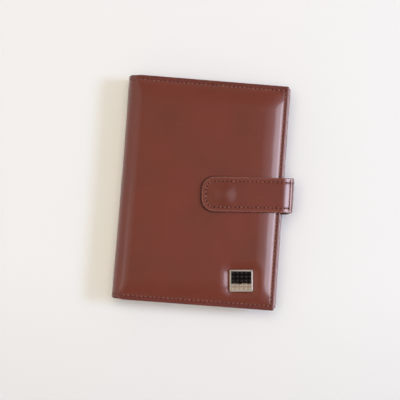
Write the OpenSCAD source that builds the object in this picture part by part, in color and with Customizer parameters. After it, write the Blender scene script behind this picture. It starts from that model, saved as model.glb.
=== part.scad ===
// Travel document wallet: two padded leather covers joined by a soft spine, shut by a snap strap.
// Frame: +X towards the fore edge, +Y towards the head of the wallet, +Z out of the front cover.
// The origin lies under the middle of the closed wallet, on the surface that it rests on.

/* [Covers] */
// Height of both covers from head to tail
cover_h = 140; // [134:1:160]
// Width of the closed front from the back of the spine to the fore edge
front_w = 100; // [98:0.5:120]
// Reach of the rear cover past the front one at the fore edge
rear_overhang = 2.5; // [1.5:0.1:4]
// Corner radius of the covers at the fore edge
cover_corner = 1.5; // [1:0.5:4]
// Radius of the bend on each side of the spine
spine_r = 8; // [6:0.5:8.5]
// Slack between the inner faces of the closed covers
closing_gap = 0.4; // [0.3:0.1:1.5]

/* [Layers] */
// Thickness of the cover leather
leather_t = 1; // [0.8:0.1:1.3]
// Thickness of the stiffener board, which the turned-in leather edge matches
board_t = 1.2; // [1:0.1:1.8]
// Thickness of the fabric lining
lining_t = 0.5; // [0.4:0.1:0.8]
// Padding under the front leather at its crown
front_pad = 2.5; // [1.8:0.1:3.5]
// Padding under the rear leather at its crown
rear_pad = 1; // [0.6:0.1:1.6]
// Padding of the spine
spine_pad = 0.8; // [0.5:0.1:1.2]

/* [Seams] */
// Distance of the cover seam from the edge
seam_in = 2.4; // [2:0.1:3.2]
// Width of the leather edge that is turned in over the board
hem_w = 6; // [6:0.1:8]
// Distance over which the padding rises from the seam to its crown
crown_run = 12; // [8:0.5:16]
// Distance of the lining from the edge of a cover
lining_in = 1; // [0.6:0.1:1.4]

/* [Pockets] */
// Thickness of the pocket leather
pocket_t = 0.7; // [0.6:0.1:1]
// Distance of the pockets from the edge of a cover
pocket_in = 1.5; // [1.5:0.1:2]
// Width of the sewn edge of a pocket
pocket_seam = 1.6; // [1.4:0.1:2]
// Room for a card in each card slot
card_gap = 0.8; // [0.8:0.1:1]
// Depth of a card slot
card_depth = 45; // [40:1:48]
// Step from the mouth of one card slot to the next
card_step = 12; // [9:0.5:14]
// Room in the slip pocket behind the card slots
slip_gap = 0.4; // [0.3:0.1:0.8]
// Room for a passport in its sleeve
passport_gap = 4.5; // [4.4:0.1:6]
// Thickness of the sleeve leather
sleeve_t = 0.8; // [0.7:0.1:1.1]
// Width of the passport sleeve from its mouth to its sewn edge
sleeve_w = 66; // [56:1:74]
// Radius of the thumb cut in the mouth of the sleeve
thumb_r = 13; // [8:0.5:16]

/* [Strap] */
// Width of the strap
strap_w = 21.4; // [20:0.2:26]
// Reach of the strap over the front, from the edge of the rear cover to its tip
strap_reach = 51.9; // [48:0.1:58]
// Corner radius of the strap tip
strap_corner = 8; // [5:0.5:9.5]
// Thickness of the outer strap leather
strap_leather_t = 1.2; // [1:0.1:1.3]
// Thickness of the strap lining
strap_lining_t = 1; // [0.9:0.1:1.2]
// Distance of the upright part of the strap from the edge of the rear cover
strap_out = 3.8; // [3.8:0.1:5]
// Radius of the lower bend of the strap
strap_low_r = 2; // [1.8:0.1:2.1]
// Radius of the upper bend of the strap
strap_top_r = 3.6; // [2.8:0.1:4.5]
// Turn of the strap seen from above
strap_turn = 3.4; // [0:0.1:4]
// Place of the strap along the fore edge
strap_y = 1.4; // [-10:0.1:10]
// Depth of the strap root in the seam of the rear cover
strap_root_in = 4.6; // [3.5:0.1:4.8]

/* [Snap] */
// Distance of the snap from the strap tip
snap_from_tip = 14; // [13:0.5:18]
// Radius of the snap discs
snap_r = 5; // [4.6:0.1:5.4]
// Radius of the stud head
stud_r = 2.2; // [2:0.1:2.4]
// Depth to which the snap sinks the padding
snap_sink = 1; // [0.8:0.1:1.2]
// Radius of the dish round the stud
snap_dish_r = 7.5; // [7:0.1:9]
// Height of the soft bump that the snap raises in the strap
snap_bump = 0.8; // [0.7:0.1:1]

/* [Badge] */
// Width of the metal badge
badge_w = 14.5; // [12:0.5:18]
// Height of the metal badge
badge_h = 13.5; // [12:0.5:18]
// Distance of the badge from the fore edge of the front
badge_from_edge = 21; // [20:0.5:40]
// Distance of the badge from the tail of the front
badge_from_tail = 17; // [17:0.5:30]
// Turn of the badge seen from above
badge_turn = 4.5; // [-5:0.5:5]
// Thickness of the badge at its rim
badge_t = 1.5; // [1.3:0.1:1.8]
// Width of the badge rim
badge_rim = 0.8; // [0.8:0.1:1.5]
// Number of raised points in each row of the badge field
badge_points = 5; // [3:1:6]

/* [Hidden] */
fit = 0.05;
eps = 0.01;
over = 1;
steps = 10;
arc_steps = 8;
fold_gap = 0.6;
fill_in = 1;
pocket_fold_in = 0.5;
sleeve_slope = 2;
strap_clear = 0.35;
strap_fold_gap = 0.6;
strap_root_gap = 0.95;
round_fn = 64;

half_h = cover_h / 2;
margin_t = leather_t + board_t;

rear_in_z = rear_pad + margin_t;
rear_top_z = rear_in_z + lining_t;
sleeve_top_z = rear_top_z + passport_gap + sleeve_t;
card_layer = card_gap + pocket_t;
slip_layer = slip_gap + pocket_t;
card_low_z = sleeve_top_z + closing_gap;
slip_low_z = card_low_z + 3 * card_layer;
front_low_z = slip_low_z + slip_layer;
front_in_z = front_low_z + lining_t;
total_t = front_in_z + margin_t + front_pad;

strap_far = (strap_out + strap_leather_t) * cos(strap_turn) + strap_w / 2 * sin(strap_turn);
total_w = front_w + rear_overhang + strap_far;
spine_x = -total_w / 2;
fold_x = spine_x + spine_r;
panel_x = fold_x + fold_gap;
front_x = spine_x + front_w;
rear_x = front_x + rear_overhang;

strap_low_z = rear_pad + leather_t + board_t / 2;
strap_top_z = total_t + strap_clear + strap_lining_t;

snap_lx = snap_from_tip - strap_reach;
snap_x = rear_x + snap_lx * cos(strap_turn);
snap_y = strap_y + snap_lx * sin(strap_turn);
snap_floor_z = total_t - snap_sink;
snap_disc_t = 0.5;
stud_undercut = 0.4;
stud_head_t = 0.5;
stud_play = 0.1;
stud_neck_r = stud_r - stud_undercut;
rivet_r = 1;
rivet_disc_in = 0.6;
rivet_disc_r = snap_r - rivet_disc_in;
socket_wall = 1.2;
socket_lift = 0.25;
socket_neck_r = stud_r + socket_wall;
socket_bore_r = stud_r + stud_play;
socket_low_z = snap_floor_z + snap_disc_t + socket_lift;
spring_wire_r = 0.25;
spring_up = 0.8;
spring_split = 30;
spring_r = stud_r + stud_play;
spring_z = socket_low_z + spring_up;
cap_collar_t = 0.5;
cap_room = 0.1;
bump_spread = 4;
bump_r = snap_r + bump_spread;

badge_x = front_x - badge_from_edge;
badge_y = badge_from_tail - half_h;
badge_sink = 1;
badge_floor_z = total_t - badge_sink;
badge_seat = 0.6;
badge_base_t = 0.5;
badge_plate_t = 0.4;
badge_point_h = 0.35;
prong_w = 2.4;
prong_t = 0.5;
prong_bend = 1.6;
backing_t = 0.5;
badge_corner = 0.8;

// Share of the padding that is reached at a distance from the seam
function crown(d) = 1 - pow(1 - min(max(d, 0), crown_run) / crown_run, 2);

// Height of a cover's outer face over its inner face, at a distance from the edge
function cover_top(d, pad) = margin_t + pad * crown(d - seam_in);

// Outer face of a cover from its edge inwards, lowered by lift and starting at a cut
function crown_points(edge, pad, cut, lift) = concat(
    [[edge - cut, cover_top(cut, pad) - lift]],
    [for (i = [0:steps]) let (d = seam_in + crown_run * i / steps)
        if (d > cut + eps) [edge - d, cover_top(d, pad) - lift]]);

function flip(points) = [for (i = [len(points) - 1:-1:0]) [-points[i][0], points[i][1]]];

function arc(x, y, r, from, to) =
    [for (i = [0:arc_steps]) let (a = from + (to - from) * i / arc_steps) [x + r * cos(a), y + r * sin(a)]];

// Profile in X and Z drawn along Y over a given length
module along_y(length) {
    rotate([90, 0, 0])
        linear_extrude(height = length, center = true)
            children();
}

// Profile in Y and Z drawn along X between two places
module along_x(from, to) {
    translate([from, 0, 0])
        rotate([90, 0, 90])
            linear_extrude(height = to - from)
                children();
}

// Rectangle with its two fore-edge corners rounded
module page_outline(x0, x1, half, r) {
    polygon(concat([[x0, half], [x0, -half]],
        arc(x1 - r, r - half, r, -90, 0), arc(x1 - r, half - r, r, 0, 90)));
}

// Rectangle about its centre with rounded corners
module soft_rect(w, h, r) {
    polygon(concat(arc(w / 2 - r, h / 2 - r, r, 0, 90), arc(r - w / 2, h / 2 - r, r, 90, 180),
        arc(r - w / 2, r - h / 2, r, 180, 270), arc(w / 2 - r, r - h / 2, r, 270, 360)));
}

// Block under the crowned face of a cover, in cover heights from the inner face outwards
module crown_block(x0, x1, low, pad, cut, lift) {
    half = half_h - cut;
    head = crown_points(half_h, pad, cut, lift);
    intersection() {
        along_y(2 * half)
            polygon(concat([[x0, low], [x1 - cut, low]], crown_points(x1, pad, cut, lift),
                [[x0, margin_t + pad - lift]]));
        along_x(x0, x1 - cut)
            polygon(concat([[-half, low], [half, low]], head, flip(head)));
    }
}

module cover_leather(x1, pad) {
    difference() {
        intersection() {
            crown_block(panel_x, x1, 0, pad, 0, 0);
            translate([0, 0, -over])
                linear_extrude(height = margin_t + pad + 2 * over)
                    page_outline(panel_x, x1, half_h, cover_corner);
        }
        difference() {
            crown_block(panel_x - over, x1, -over, pad, hem_w, leather_t);
            children();
        }
    }
}

module cover_padding(x1, pad) {
    crown_block(panel_x + fill_in, x1, board_t + fit, pad, hem_w + fit, leather_t + fit);
}

module cover_board(x1) {
    cut = hem_w + fit;
    translate([panel_x + fill_in, cut - half_h, 0])
        cube([x1 - cut - panel_x - fill_in, 2 * (half_h - cut), board_t]);
}

module cover_lining(x1) {
    translate([0, 0, -lining_t])
        linear_extrude(height = lining_t)
            page_outline(panel_x, x1 - lining_in, half_h - lining_in, cover_corner);
}

module front_place() {
    translate([0, 0, front_in_z])
        children();
}

module rear_place() {
    translate([0, 0, rear_in_z])
        mirror([0, 0, 1])
            children();
}

// Place on the strap: local X runs out from the edge of the rear cover, along the strap
module strap_place() {
    translate([rear_x, strap_y, 0])
        rotate([0, 0, strap_turn])
            children();
}

module snap_place(z) {
    translate([snap_x, snap_y, z])
        children();
}

module badge_place(z) {
    translate([badge_x, badge_y, z])
        rotate([0, 0, badge_turn])
            children();
}

// Dish pressed into the front round the stud, grown by the leather for its underside
module snap_dish(grow) {
    snap_place(snap_floor_z - grow)
        cylinder(r = snap_dish_r + grow, h = front_pad + over, $fn = round_fn);
}

// Seat pressed into the front under the badge, grown by the leather for its underside
module badge_dish(grow) {
    badge_place(badge_floor_z - grow)
        linear_extrude(height = front_pad + over)
            soft_rect(badge_w + 2 * (badge_seat + grow), badge_h + 2 * (badge_seat + grow),
                badge_corner + badge_seat + grow);
}

// Two slots side by side for the badge prongs
module prongs_at(w, t, low, high) {
    for (side = [-1, 1])
        translate([side * badge_w / 4 - t / 2, -w / 2, low])
            cube([t, w, high - low]);
}

// Root of the strap in the seam of the rear cover, with clearance round it
module root_block(low, high, clear) {
    inner = -strap_root_in - clear;
    outer = strap_out - strap_low_r - strap_root_gap;
    translate([inner, -strap_w / 2 - clear, low])
        cube([outer - inner, strap_w + 2 * clear, high - low]);
}

module rear_leather() {
    color("saddlebrown")
        difference() {
            rear_place()
                cover_leather(rear_x, rear_pad);
            strap_place()
                root_block(rear_pad + leather_t, rear_in_z + over, fit);
        }
}

module rear_padding() {
    color("lightgrey")
        rear_place()
            cover_padding(rear_x, rear_pad);
}

module rear_board() {
    color("burlywood")
        rear_place()
            cover_board(rear_x);
}

module rear_lining() {
    color("peru")
        rear_place()
            cover_lining(rear_x);
}

// Formed sleeve leather: a low block with sloped sewn sides, open towards the spine
module sleeve_block(x0, x1, half, top, slope) {
    intersection() {
        along_y(2 * half)
            polygon([[x0, 0], [x1, 0], [x1 - slope, top], [x0, top]]);
        along_x(x0, x1)
            polygon([[-half, 0], [half, 0], [half - slope, top], [slope - half, top]]);
    }
}

module passport_sleeve() {
    x1 = rear_x - pocket_in;
    x0 = x1 - sleeve_w;
    half = half_h - pocket_in;
    foot = 2 * pocket_seam;
    color("sienna")
        translate([0, 0, rear_top_z])
            difference() {
                union() {
                    sleeve_block(x0, x1 - foot + sleeve_t, half - foot + sleeve_t,
                        passport_gap + sleeve_t, sleeve_slope);
                    linear_extrude(height = sleeve_t)
                        page_outline(x0, x1, half, cover_corner);
                }
                translate([0, 0, -eps])
                    sleeve_block(x0 - over, x1 - foot, half - foot, passport_gap + eps, sleeve_slope);
                translate([x0, 0, -over])
                    cylinder(r = thumb_r, h = passport_gap + sleeve_t + 2 * over, $fn = round_fn);
            }
}

module strap_root_leather() {
    color("saddlebrown")
        strap_place()
            root_block(rear_pad + leather_t + fit, strap_low_z, 0);
}

module strap_root_lining() {
    color("sienna")
        strap_place()
            root_block(strap_low_z, rear_in_z, 0);
}

// Closed filling of the spine, all its faces moved in by an amount
module spine_fill(inset) {
    half = half_h + (inset > 0 ? over : 0);
    head = crown_points(half_h, 1, 0, margin_t);
    low = [for (p = head) [p[0], rear_pad * (1 - p[1]) + inset]];
    top = [for (p = head) [p[0], total_t - front_pad * (1 - p[1]) - inset]];
    r = spine_r - inset;
    intersection() {
        along_y(2 * half)
            polygon(concat([[fold_x + (inset > 0 ? over : 0), inset]],
                arc(fold_x, spine_r, r, 270, 180), arc(fold_x, total_t - spine_r, r, 180, 90),
                [[fold_x + (inset > 0 ? over : 0), total_t - inset]]));
        along_x(spine_x - over, fold_x + 2 * over)
            polygon(concat([[half, low[0][1]]], low, flip(low), [[-half, low[0][1]]],
                [[-half, top[0][1]]], [for (i = [0:len(top) - 1]) [-top[i][0], top[i][1]]],
                [for (i = [len(top) - 1:-1:0]) top[i]], [[half, top[0][1]]]));
    }
}

module spine_layer(outer, inner, in) {
    intersection() {
        difference() {
            spine_fill(outer);
            spine_fill(inner);
        }
        translate([spine_x - over, in - half_h, -over])
            cube([spine_r + over, 2 * (half_h - in), total_t + 2 * over]);
    }
}

module spine_leather() {
    color("saddlebrown")
        spine_layer(0, leather_t, 0);
}

module spine_padding() {
    color("lightgrey")
        spine_layer(leather_t + fit, leather_t + spine_pad, hem_w);
}

module spine_lining() {
    outer = leather_t + spine_pad + fit;
    color("peru")
        spine_layer(outer, outer + lining_t, lining_in);
}

module front_leather() {
    color("saddlebrown")
        difference() {
            front_place()
                cover_leather(front_x, front_pad)
                    translate([0, 0, -front_in_z]) {
                        snap_dish(leather_t);
                        badge_dish(leather_t);
                    }
            snap_dish(0);
            badge_dish(0);
            snap_place(snap_floor_z - 2 * over)
                cylinder(r = rivet_r + fit, h = 3 * over, $fn = round_fn);
            badge_place(0)
                prongs_at(prong_w + 2 * fit, prong_t + 2 * fit, badge_floor_z - 2 * over, badge_floor_z + over);
        }
}

module front_padding() {
    snap_low_z = snap_floor_z - leather_t - snap_disc_t - fit;
    badge_low_z = badge_floor_z - leather_t - backing_t - prong_t - 2 * fit;
    color("lightgrey")
        difference() {
            front_place()
                cover_padding(front_x, front_pad);
            snap_dish(leather_t + fit);
            badge_dish(leather_t + fit);
            snap_place(snap_low_z)
                cylinder(r = rivet_disc_r + fit, h = over + snap_disc_t, $fn = round_fn);
            badge_place(badge_low_z)
                linear_extrude(height = over + backing_t + prong_t)
                    square([badge_w, badge_h], center = true);
        }
}

module front_board() {
    color("burlywood")
        front_place()
            cover_board(front_x);
}

module front_lining() {
    color("peru")
        front_place()
            cover_lining(front_x);
}

module slip_pocket() {
    x0 = panel_x + pocket_fold_in;
    x1 = front_x - pocket_in;
    half = half_h - pocket_in;
    color("sienna")
        translate([0, 0, slip_low_z])
            difference() {
                linear_extrude(height = slip_layer)
                    page_outline(x0, x1, half, cover_corner);
                translate([x0 - over, pocket_seam - half, pocket_t])
                    cube([x1 - x0 - pocket_seam + over, 2 * (half - pocket_seam), slip_layer]);
            }
}

// Card pocket number n, counted from the slip pocket inwards
module card_pocket(n) {
    x0 = panel_x + pocket_fold_in;
    x1 = front_x - pocket_in;
    y0 = pocket_in - half_h;
    y1 = y0 + card_depth + (2 - n) * card_step;
    translate([x0, y0, slip_low_z - (n + 1) * card_layer])
        difference() {
            cube([x1 - x0, y1 - y0, card_layer - fit]);
            translate([pocket_seam, pocket_seam, pocket_t])
                cube([x1 - x0 - 2 * pocket_seam, y1 - y0, card_layer]);
        }
}

module card_pocket_upper() {
    color("sienna")
        card_pocket(0);
}

module card_pocket_middle() {
    color("sienna")
        card_pocket(1);
}

module card_pocket_lower() {
    color("sienna")
        card_pocket(2);
}

module badge_frame() {
    prong_low = -leather_t - backing_t - prong_t;
    color("silver")
        badge_place(badge_floor_z) {
            difference() {
                linear_extrude(height = badge_t)
                    soft_rect(badge_w, badge_h, badge_corner);
                translate([0, 0, badge_base_t])
                    linear_extrude(height = badge_t)
                        soft_rect(badge_w - 2 * badge_rim, badge_h - 2 * badge_rim, badge_corner / 2);
            }
            prongs_at(prong_w, prong_t, prong_low, eps);
            for (side = [-1, 1])
                translate([side * (badge_w / 4 + prong_bend / 2) - prong_bend / 2 - prong_t / 2,
                        -prong_w / 2, prong_low])
                    cube([prong_bend + prong_t, prong_w, prong_t - fit]);
        }
}

// Field of the badge: crossing V grooves leave small raised points in even rows
module badge_plate() {
    w = badge_w - 2 * badge_rim - 2 * fit;
    h = badge_h - 2 * badge_rim - 2 * fit;
    top = badge_plate_t + badge_point_h;
    color("dimgray")
        badge_place(badge_floor_z + badge_base_t)
            difference() {
                linear_extrude(height = top)
                    soft_rect(w, h, badge_corner / 2 - fit);
                along_y(h + 2 * over)
                    grooves(w, top);
                along_x(-w / 2 - over, w / 2 + over)
                    grooves(h, top);
            }
}

// Row of V grooves over a width, cut down from a height
module grooves(width, top) {
    pitch = width / badge_points;
    for (i = [0:badge_points])
        translate([i * pitch - width / 2, top])
            polygon([[eps - pitch / 2, eps], [0, -badge_point_h], [pitch / 2 - eps, eps]]);
}

module badge_backing() {
    color("silver")
        badge_place(badge_floor_z - leather_t - backing_t)
            difference() {
                linear_extrude(height = backing_t)
                    soft_rect(badge_w - 2 * badge_rim, badge_h - 2 * badge_rim, badge_corner);
                prongs_at(prong_w + 2 * fit, prong_t + 2 * fit, -over, backing_t + over);
            }
}

module snap_stud() {
    head_z = spring_z - snap_floor_z + spring_wire_r + stud_play;
    color("lightgray")
        snap_place(snap_floor_z)
            rotate_extrude($fn = round_fn)
                polygon([[rivet_r + fit, 0], [snap_r, 0], [snap_r, snap_disc_t / 2],
                    [snap_r - snap_disc_t / 2, snap_disc_t], [stud_neck_r, snap_disc_t],
                    [stud_neck_r, head_z], [stud_r, head_z + stud_head_t / 3],
                    [stud_r, head_z + 2 * stud_head_t / 3], [stud_neck_r, head_z + stud_head_t],
                    [rivet_r + fit, head_z + stud_head_t]]);
}

module snap_rivet() {
    low = -leather_t - snap_disc_t;
    color("silver")
        snap_place(snap_floor_z) {
            translate([0, 0, low])
                cylinder(r = rivet_disc_r, h = snap_disc_t, $fn = round_fn);
            translate([0, 0, low + eps])
                cylinder(r = rivet_r, h = spring_z - snap_floor_z - low, $fn = round_fn);
        }
}

// Layer of the strap round its two bends, between two distances from the glue line
module strap_side_layer(inner, outer) {
    low_x = strap_out - strap_low_r;
    top_x = strap_out - strap_top_r;
    along_y(strap_w)
        polygon(concat(
            arc(low_x, strap_low_z + strap_low_r, strap_low_r + outer, 270, 360),
            arc(top_x, strap_top_z - strap_top_r, strap_top_r + outer, 0, 90),
            arc(top_x, strap_top_z - strap_top_r, strap_top_r + inner, 90, 0),
            arc(low_x, strap_low_z + strap_low_r, strap_low_r + inner, 360, 270)));
}

module strap_side_leather() {
    color("saddlebrown")
        strap_place()
            strap_side_layer(0, strap_leather_t);
}

module strap_side_lining() {
    color("sienna")
        strap_place()
            strap_side_layer(-strap_lining_t, 0);
}

// Half section of the soft bump over the snap
function bump_points() = concat([[0, 0], [bump_r, 0]],
    [for (i = [0:arc_steps]) let (u = 1 - i / arc_steps)
        [bump_r * u, strap_leather_t / 2 + snap_bump * pow(1 - u * u, 2)]]);

module strap_tab_outline() {
    x1 = strap_out - strap_top_r - strap_fold_gap;
    mirror([1, 0])
        page_outline(-x1, strap_reach, strap_w / 2, strap_corner);
}

module strap_tab_leather() {
    color("saddlebrown")
        strap_place()
            translate([0, 0, strap_top_z])
                difference() {
                    union() {
                        linear_extrude(height = strap_leather_t)
                            strap_tab_outline();
                        translate([snap_lx, 0, strap_leather_t / 2])
                            rotate_extrude($fn = round_fn)
                                polygon(bump_points());
                    }
                    translate([snap_lx, 0, -over])
                        cylinder(r = snap_r + cap_room, h = over + snap_disc_t + cap_room, $fn = round_fn);
                }
}

module strap_tab_lining() {
    color("sienna")
        strap_place()
            translate([0, 0, strap_top_z - strap_lining_t])
                difference() {
                    linear_extrude(height = strap_lining_t)
                        strap_tab_outline();
                    translate([snap_lx, 0, -over])
                        cylinder(r = socket_neck_r + cap_collar_t + 2 * fit, h = strap_lining_t + 2 * over,
                            $fn = round_fn);
                }
}

module snap_socket() {
    low = socket_low_z;
    rim_z = strap_top_z - strap_lining_t;
    groove = spring_wire_r + fit;
    color("silver")
        snap_place(0)
            rotate_extrude($fn = round_fn)
                polygon([[socket_bore_r + groove, low], [snap_r, low], [snap_r, rim_z],
                    [socket_neck_r, rim_z], [socket_neck_r, strap_top_z - fit],
                    [socket_bore_r, strap_top_z - fit], [socket_bore_r, spring_z + groove],
                    [spring_r + spring_wire_r + groove, spring_z + groove],
                    [spring_r + spring_wire_r + groove, spring_z - groove],
                    [socket_bore_r + groove, spring_z - groove]]);
}

// Split ring that grips under the head of the stud
module snap_spring() {
    color("goldenrod")
        snap_place(spring_z)
            rotate([0, 0, spring_split / 2])
                rotate_extrude(angle = 360 - spring_split, $fn = round_fn)
                    translate([spring_r, 0])
                        circle(r = spring_wire_r, $fn = round_fn / 8);
}

// Cap hidden between the strap leathers, with a collar round the neck of the socket
module snap_cap() {
    color("silver")
        snap_place(strap_top_z)
            rotate_extrude($fn = round_fn)
                polygon([[0, fit], [socket_neck_r + fit, fit], [socket_neck_r + fit, fit - strap_lining_t / 2],
                    [socket_neck_r + cap_collar_t, fit - strap_lining_t / 2],
                    [socket_neck_r + cap_collar_t, fit], [snap_r, fit], [snap_r, snap_disc_t / 2],
                    [snap_r - snap_disc_t / 2, snap_disc_t], [0, snap_disc_t]]);
}

rear_leather();
rear_padding();
rear_board();
rear_lining();
passport_sleeve();
strap_root_leather();
strap_root_lining();
spine_leather();
spine_padding();
spine_lining();
front_leather();
front_padding();
front_board();
front_lining();
slip_pocket();
card_pocket_upper();
card_pocket_middle();
card_pocket_lower();
badge_frame();
badge_plate();
badge_backing();
snap_stud();
snap_rivet();
strap_side_leather();
strap_side_lining();
strap_tab_leather();
strap_tab_lining();
snap_socket();
snap_spring();
snap_cap();
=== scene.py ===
"""Travel document wallet dressed over the CAD frame: padded leather covers, a soft spine and a snap strap."""
import math

import bpy
import numpy as np
from mathutils import Matrix, Vector, noise


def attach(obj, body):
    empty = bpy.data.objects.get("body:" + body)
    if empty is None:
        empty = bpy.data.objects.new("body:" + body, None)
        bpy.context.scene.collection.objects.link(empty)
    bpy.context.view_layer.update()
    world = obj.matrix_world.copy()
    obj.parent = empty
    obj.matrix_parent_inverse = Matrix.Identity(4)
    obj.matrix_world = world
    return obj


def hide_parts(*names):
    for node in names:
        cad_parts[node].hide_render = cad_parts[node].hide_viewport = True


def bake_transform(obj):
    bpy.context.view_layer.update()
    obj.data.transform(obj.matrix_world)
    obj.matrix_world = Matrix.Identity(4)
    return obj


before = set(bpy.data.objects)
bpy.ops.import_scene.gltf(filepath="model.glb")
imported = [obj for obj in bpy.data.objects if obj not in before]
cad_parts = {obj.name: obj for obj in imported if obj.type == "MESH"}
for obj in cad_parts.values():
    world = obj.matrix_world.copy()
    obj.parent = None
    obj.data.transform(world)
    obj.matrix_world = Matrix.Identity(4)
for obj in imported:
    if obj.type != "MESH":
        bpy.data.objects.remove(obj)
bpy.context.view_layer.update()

MM = 0.001

# Sizes of the covers in millimetres, the same as in the CAD where it has them too
HALF_H = 70.0
TOP_Z = 20.2
MID_Z = TOP_Z / 2
FRONT_W = 100.0
REAR_OVERHANG = 2.5
SPINE_X = -54.0629
SPINE_R = 8.0
SPINE_ROLL = 11.2
SPINE_TIGHT = 3.6
SPINE_HELD = 2.0
SPINE_FREE = 13.0
SPINE_SHORTER = 0.008
SPINE_SHORT_RUN = 9.0
SPINE_SLACK = 0.2
FOLD_X = SPINE_X + SPINE_ROLL
FRONT_X = SPINE_X + FRONT_W
REAR_X = FRONT_X + REAR_OVERHANG
WALL = MID_Z - SPINE_R
BEND = 15.18
FRONT_TURN_IN = 0.5
REAR_TURN_IN = 0.4
FRONT_RUN = WALL + BEND + FRONT_X + FRONT_TURN_IN - FOLD_X
REAR_RUN = WALL + BEND + REAR_X + REAR_TURN_IN - FOLD_X
FRONT_PAD = 2.5
REAR_PAD = 1.0
SPINE_PINCH = 0.25
SPINE_T = 1.8
MARGIN_T = 2.2
LINING_T = 0.5
LINING_IN = 1.0
LINING_EDGE_R = 0.3
CORNER_R = 1.1
EDGE_R = 0.75
REAR_EDGE_R = 0.4
SEAM_IN = 2.3
SEAM_SIDE_IN = 3.0
SEAM_BLEND = 7.0
SEAM_DENT = 0.2
SEAM_DENT_W = 0.6
LIP_IN = 1.2
LIP_RISE = 0.06
LIP_W = 0.5
CROWN_RUN = 12.0
SWELL = 0.3
SPINE_WAIST = 0.5
FORE_WAIST = 0.1
REAR_BEVEL = 2.3
REAR_THINNING = 0.38
REAR_HEM = 2.4
REAR_SKEW = 1.4

# The badge and the leather that it pulls in
BADGE_FROM_EDGE = 21.0
BADGE_X = FRONT_X - BADGE_FROM_EDGE
BADGE_Y = -53.0
BADGE_FLOOR_Z = 19.2
BADGE_TURN = math.radians(4.5)
BADGE_W = 14.5
BADGE_H = 13.5
BADGE_T = 1.5
BADGE_RIM = 0.5
BADGE_SUNK = 0.85
BADGE_DEEP = 1.0
BADGE_CORNER_R = 0.8
BADGE_UNDER = 2.6
BADGE_POINTS = 5
FIELD_GAP = 0.1
FIELD_Z = 0.5
FIELD_T = 0.38
POINT_FOOT = 0.4
POINT_PEAK = 0.62
DISH_SLOPE = 0.34
DISH_EVEN = 2.2
DISH_EASE = 4.4

# The strap and its snap
STRAP_Y = 1.4
STRAP_TURN = math.radians(3.4)
STRAP_HALF = 10.7
STRAP_OUT = 3.8
STRAP_ROOT = 4.6
STRAP_REACH = 51.9
STRAP_LOW_R = 2.0
STRAP_TOP_R = 3.6
STRAP_LOW_Z = 2.6
STRAP_TOP_Z = 21.55
STRAP_LEATHER_T = 1.2
STRAP_LINING_T = 1.0
STRAP_SKIVED_T = 0.35
STRAP_TIP_R = 8.0
STRAP_SEAM_IN = 2.7
STRAP_MARGIN = 0.1
STRAP_GROOVE = 0.08
FOLD_SKEW = math.tan(math.radians(2.6))
SNAP_FLOOR_Z = 19.2
SNAP_FROM_TIP = 14.0
SNAP_X = REAR_X + (SNAP_FROM_TIP - STRAP_REACH) * math.cos(STRAP_TURN)
SNAP_Y = STRAP_Y + (SNAP_FROM_TIP - STRAP_REACH) * math.sin(STRAP_TURN)
SNAP_BUMP = 0.9
SNAP_BUMP_R = 8.2
SNAP_SEAT_R = 5.3
SNAP_DISH_R = 9.5
STRAP_PULL = 0.22
STRAP_PULL_W = 13.0

# Stitches: their pitch, how much of it the thread fills, how uneven they lie, and their size on each piece
STITCH_PITCH = 2.6
STITCH_FILL = 0.86
STITCH_WANDER = 0.2
STITCH_UNEVEN = 0.8
COVER_STITCH = {"width": 0.56, "height": 0.45, "lift": 0.08}
STRAP_STITCH = {"width": 0.46, "height": 0.34, "lift": 0.08}
POCKET_STITCH = {"width": 0.4, "height": 0.32, "lift": 0.03}

# Cloth run that swells the padded leather
CLOTH_STEPS = 20
CLOTH_PRESSURE = 4
CLOTH_STIFFNESS = 25

# Needle hole at the start of a stitch that is 1 mm long: place, depth, and how far it is drawn out
EYE_X = -0.58
EYE_DEPTH = 0.06
EYE_LONG = 0.42
EYE_WIDE = 1.75


# Shaping helpers

def smooth(start, end, x):
    """Smooth step from 0 at the start to 1 at the end."""
    t = np.clip((x - start) / (end - start), 0, 1)
    return t * t * (3 - 2 * t)


def soft_min(a, b, reach):
    """Lesser of two values, with a soft change from one to the other."""
    near = np.maximum(reach - np.abs(a - b), 0) / reach
    return np.minimum(a, b) - near * near * reach / 4


def lines(*runs):
    """Grid lines over runs that follow each other, each given as its end and its number of steps."""
    values = [runs[0]]
    for end, steps in runs[1:]:
        values.extend(np.linspace(values[-1], end, steps + 1)[1:])
    return np.array(values)


def between(start, end, edge, steps):
    """Grid lines from one edge of a piece to the other, fine along both edges and even between them."""
    inner = lines(start + edge[-1], (end - edge[-1], steps))[1:-1]
    return np.concatenate([start + edge, inner, end - edge[::-1]])


def stack(*parts):
    """Points from their coordinates."""
    return np.stack(parts, axis=-1)


def ridge(d, place, width):
    """Share of a narrow rise or dent: 1 at its place, fading to both sides."""
    return np.exp(-((d - place) / width) ** 2)


def edge_round(d, r):
    """Drop of a rounded edge at a distance from it."""
    inside = np.clip(r - d, 0, r)
    return r - np.sqrt(r * r - inside * inside)


def round_corner(a, b, r):
    """Moves the points of a square corner, measured from the corner's centre, onto rings round it."""
    corner = (a > 0) & (b > 0)
    big = np.maximum(a, b)
    small = np.minimum(a, b)
    turn = math.pi / 4 * small / np.maximum(big, 1e-9)
    main = big * np.cos(turn)
    side = big * np.sin(turn)
    new_a = np.where(a >= b, main, side)
    new_b = np.where(a >= b, side, main)
    return np.where(corner, new_a, a), np.where(corner, new_b, b)


def waves(u, v, size, seed):
    """Slow uneven rise and fall of soft leather, from -1 to 1."""
    flat = [noise.noise(Vector((a / size, b / size, seed))) for a, b in zip(np.ravel(u), np.ravel(v))]
    return np.array(flat).reshape(np.shape(u))


def deselect():
    """Clears the selection, so that an operator acts on the new piece alone."""
    bpy.ops.object.select_all(action="DESELECT")


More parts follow.
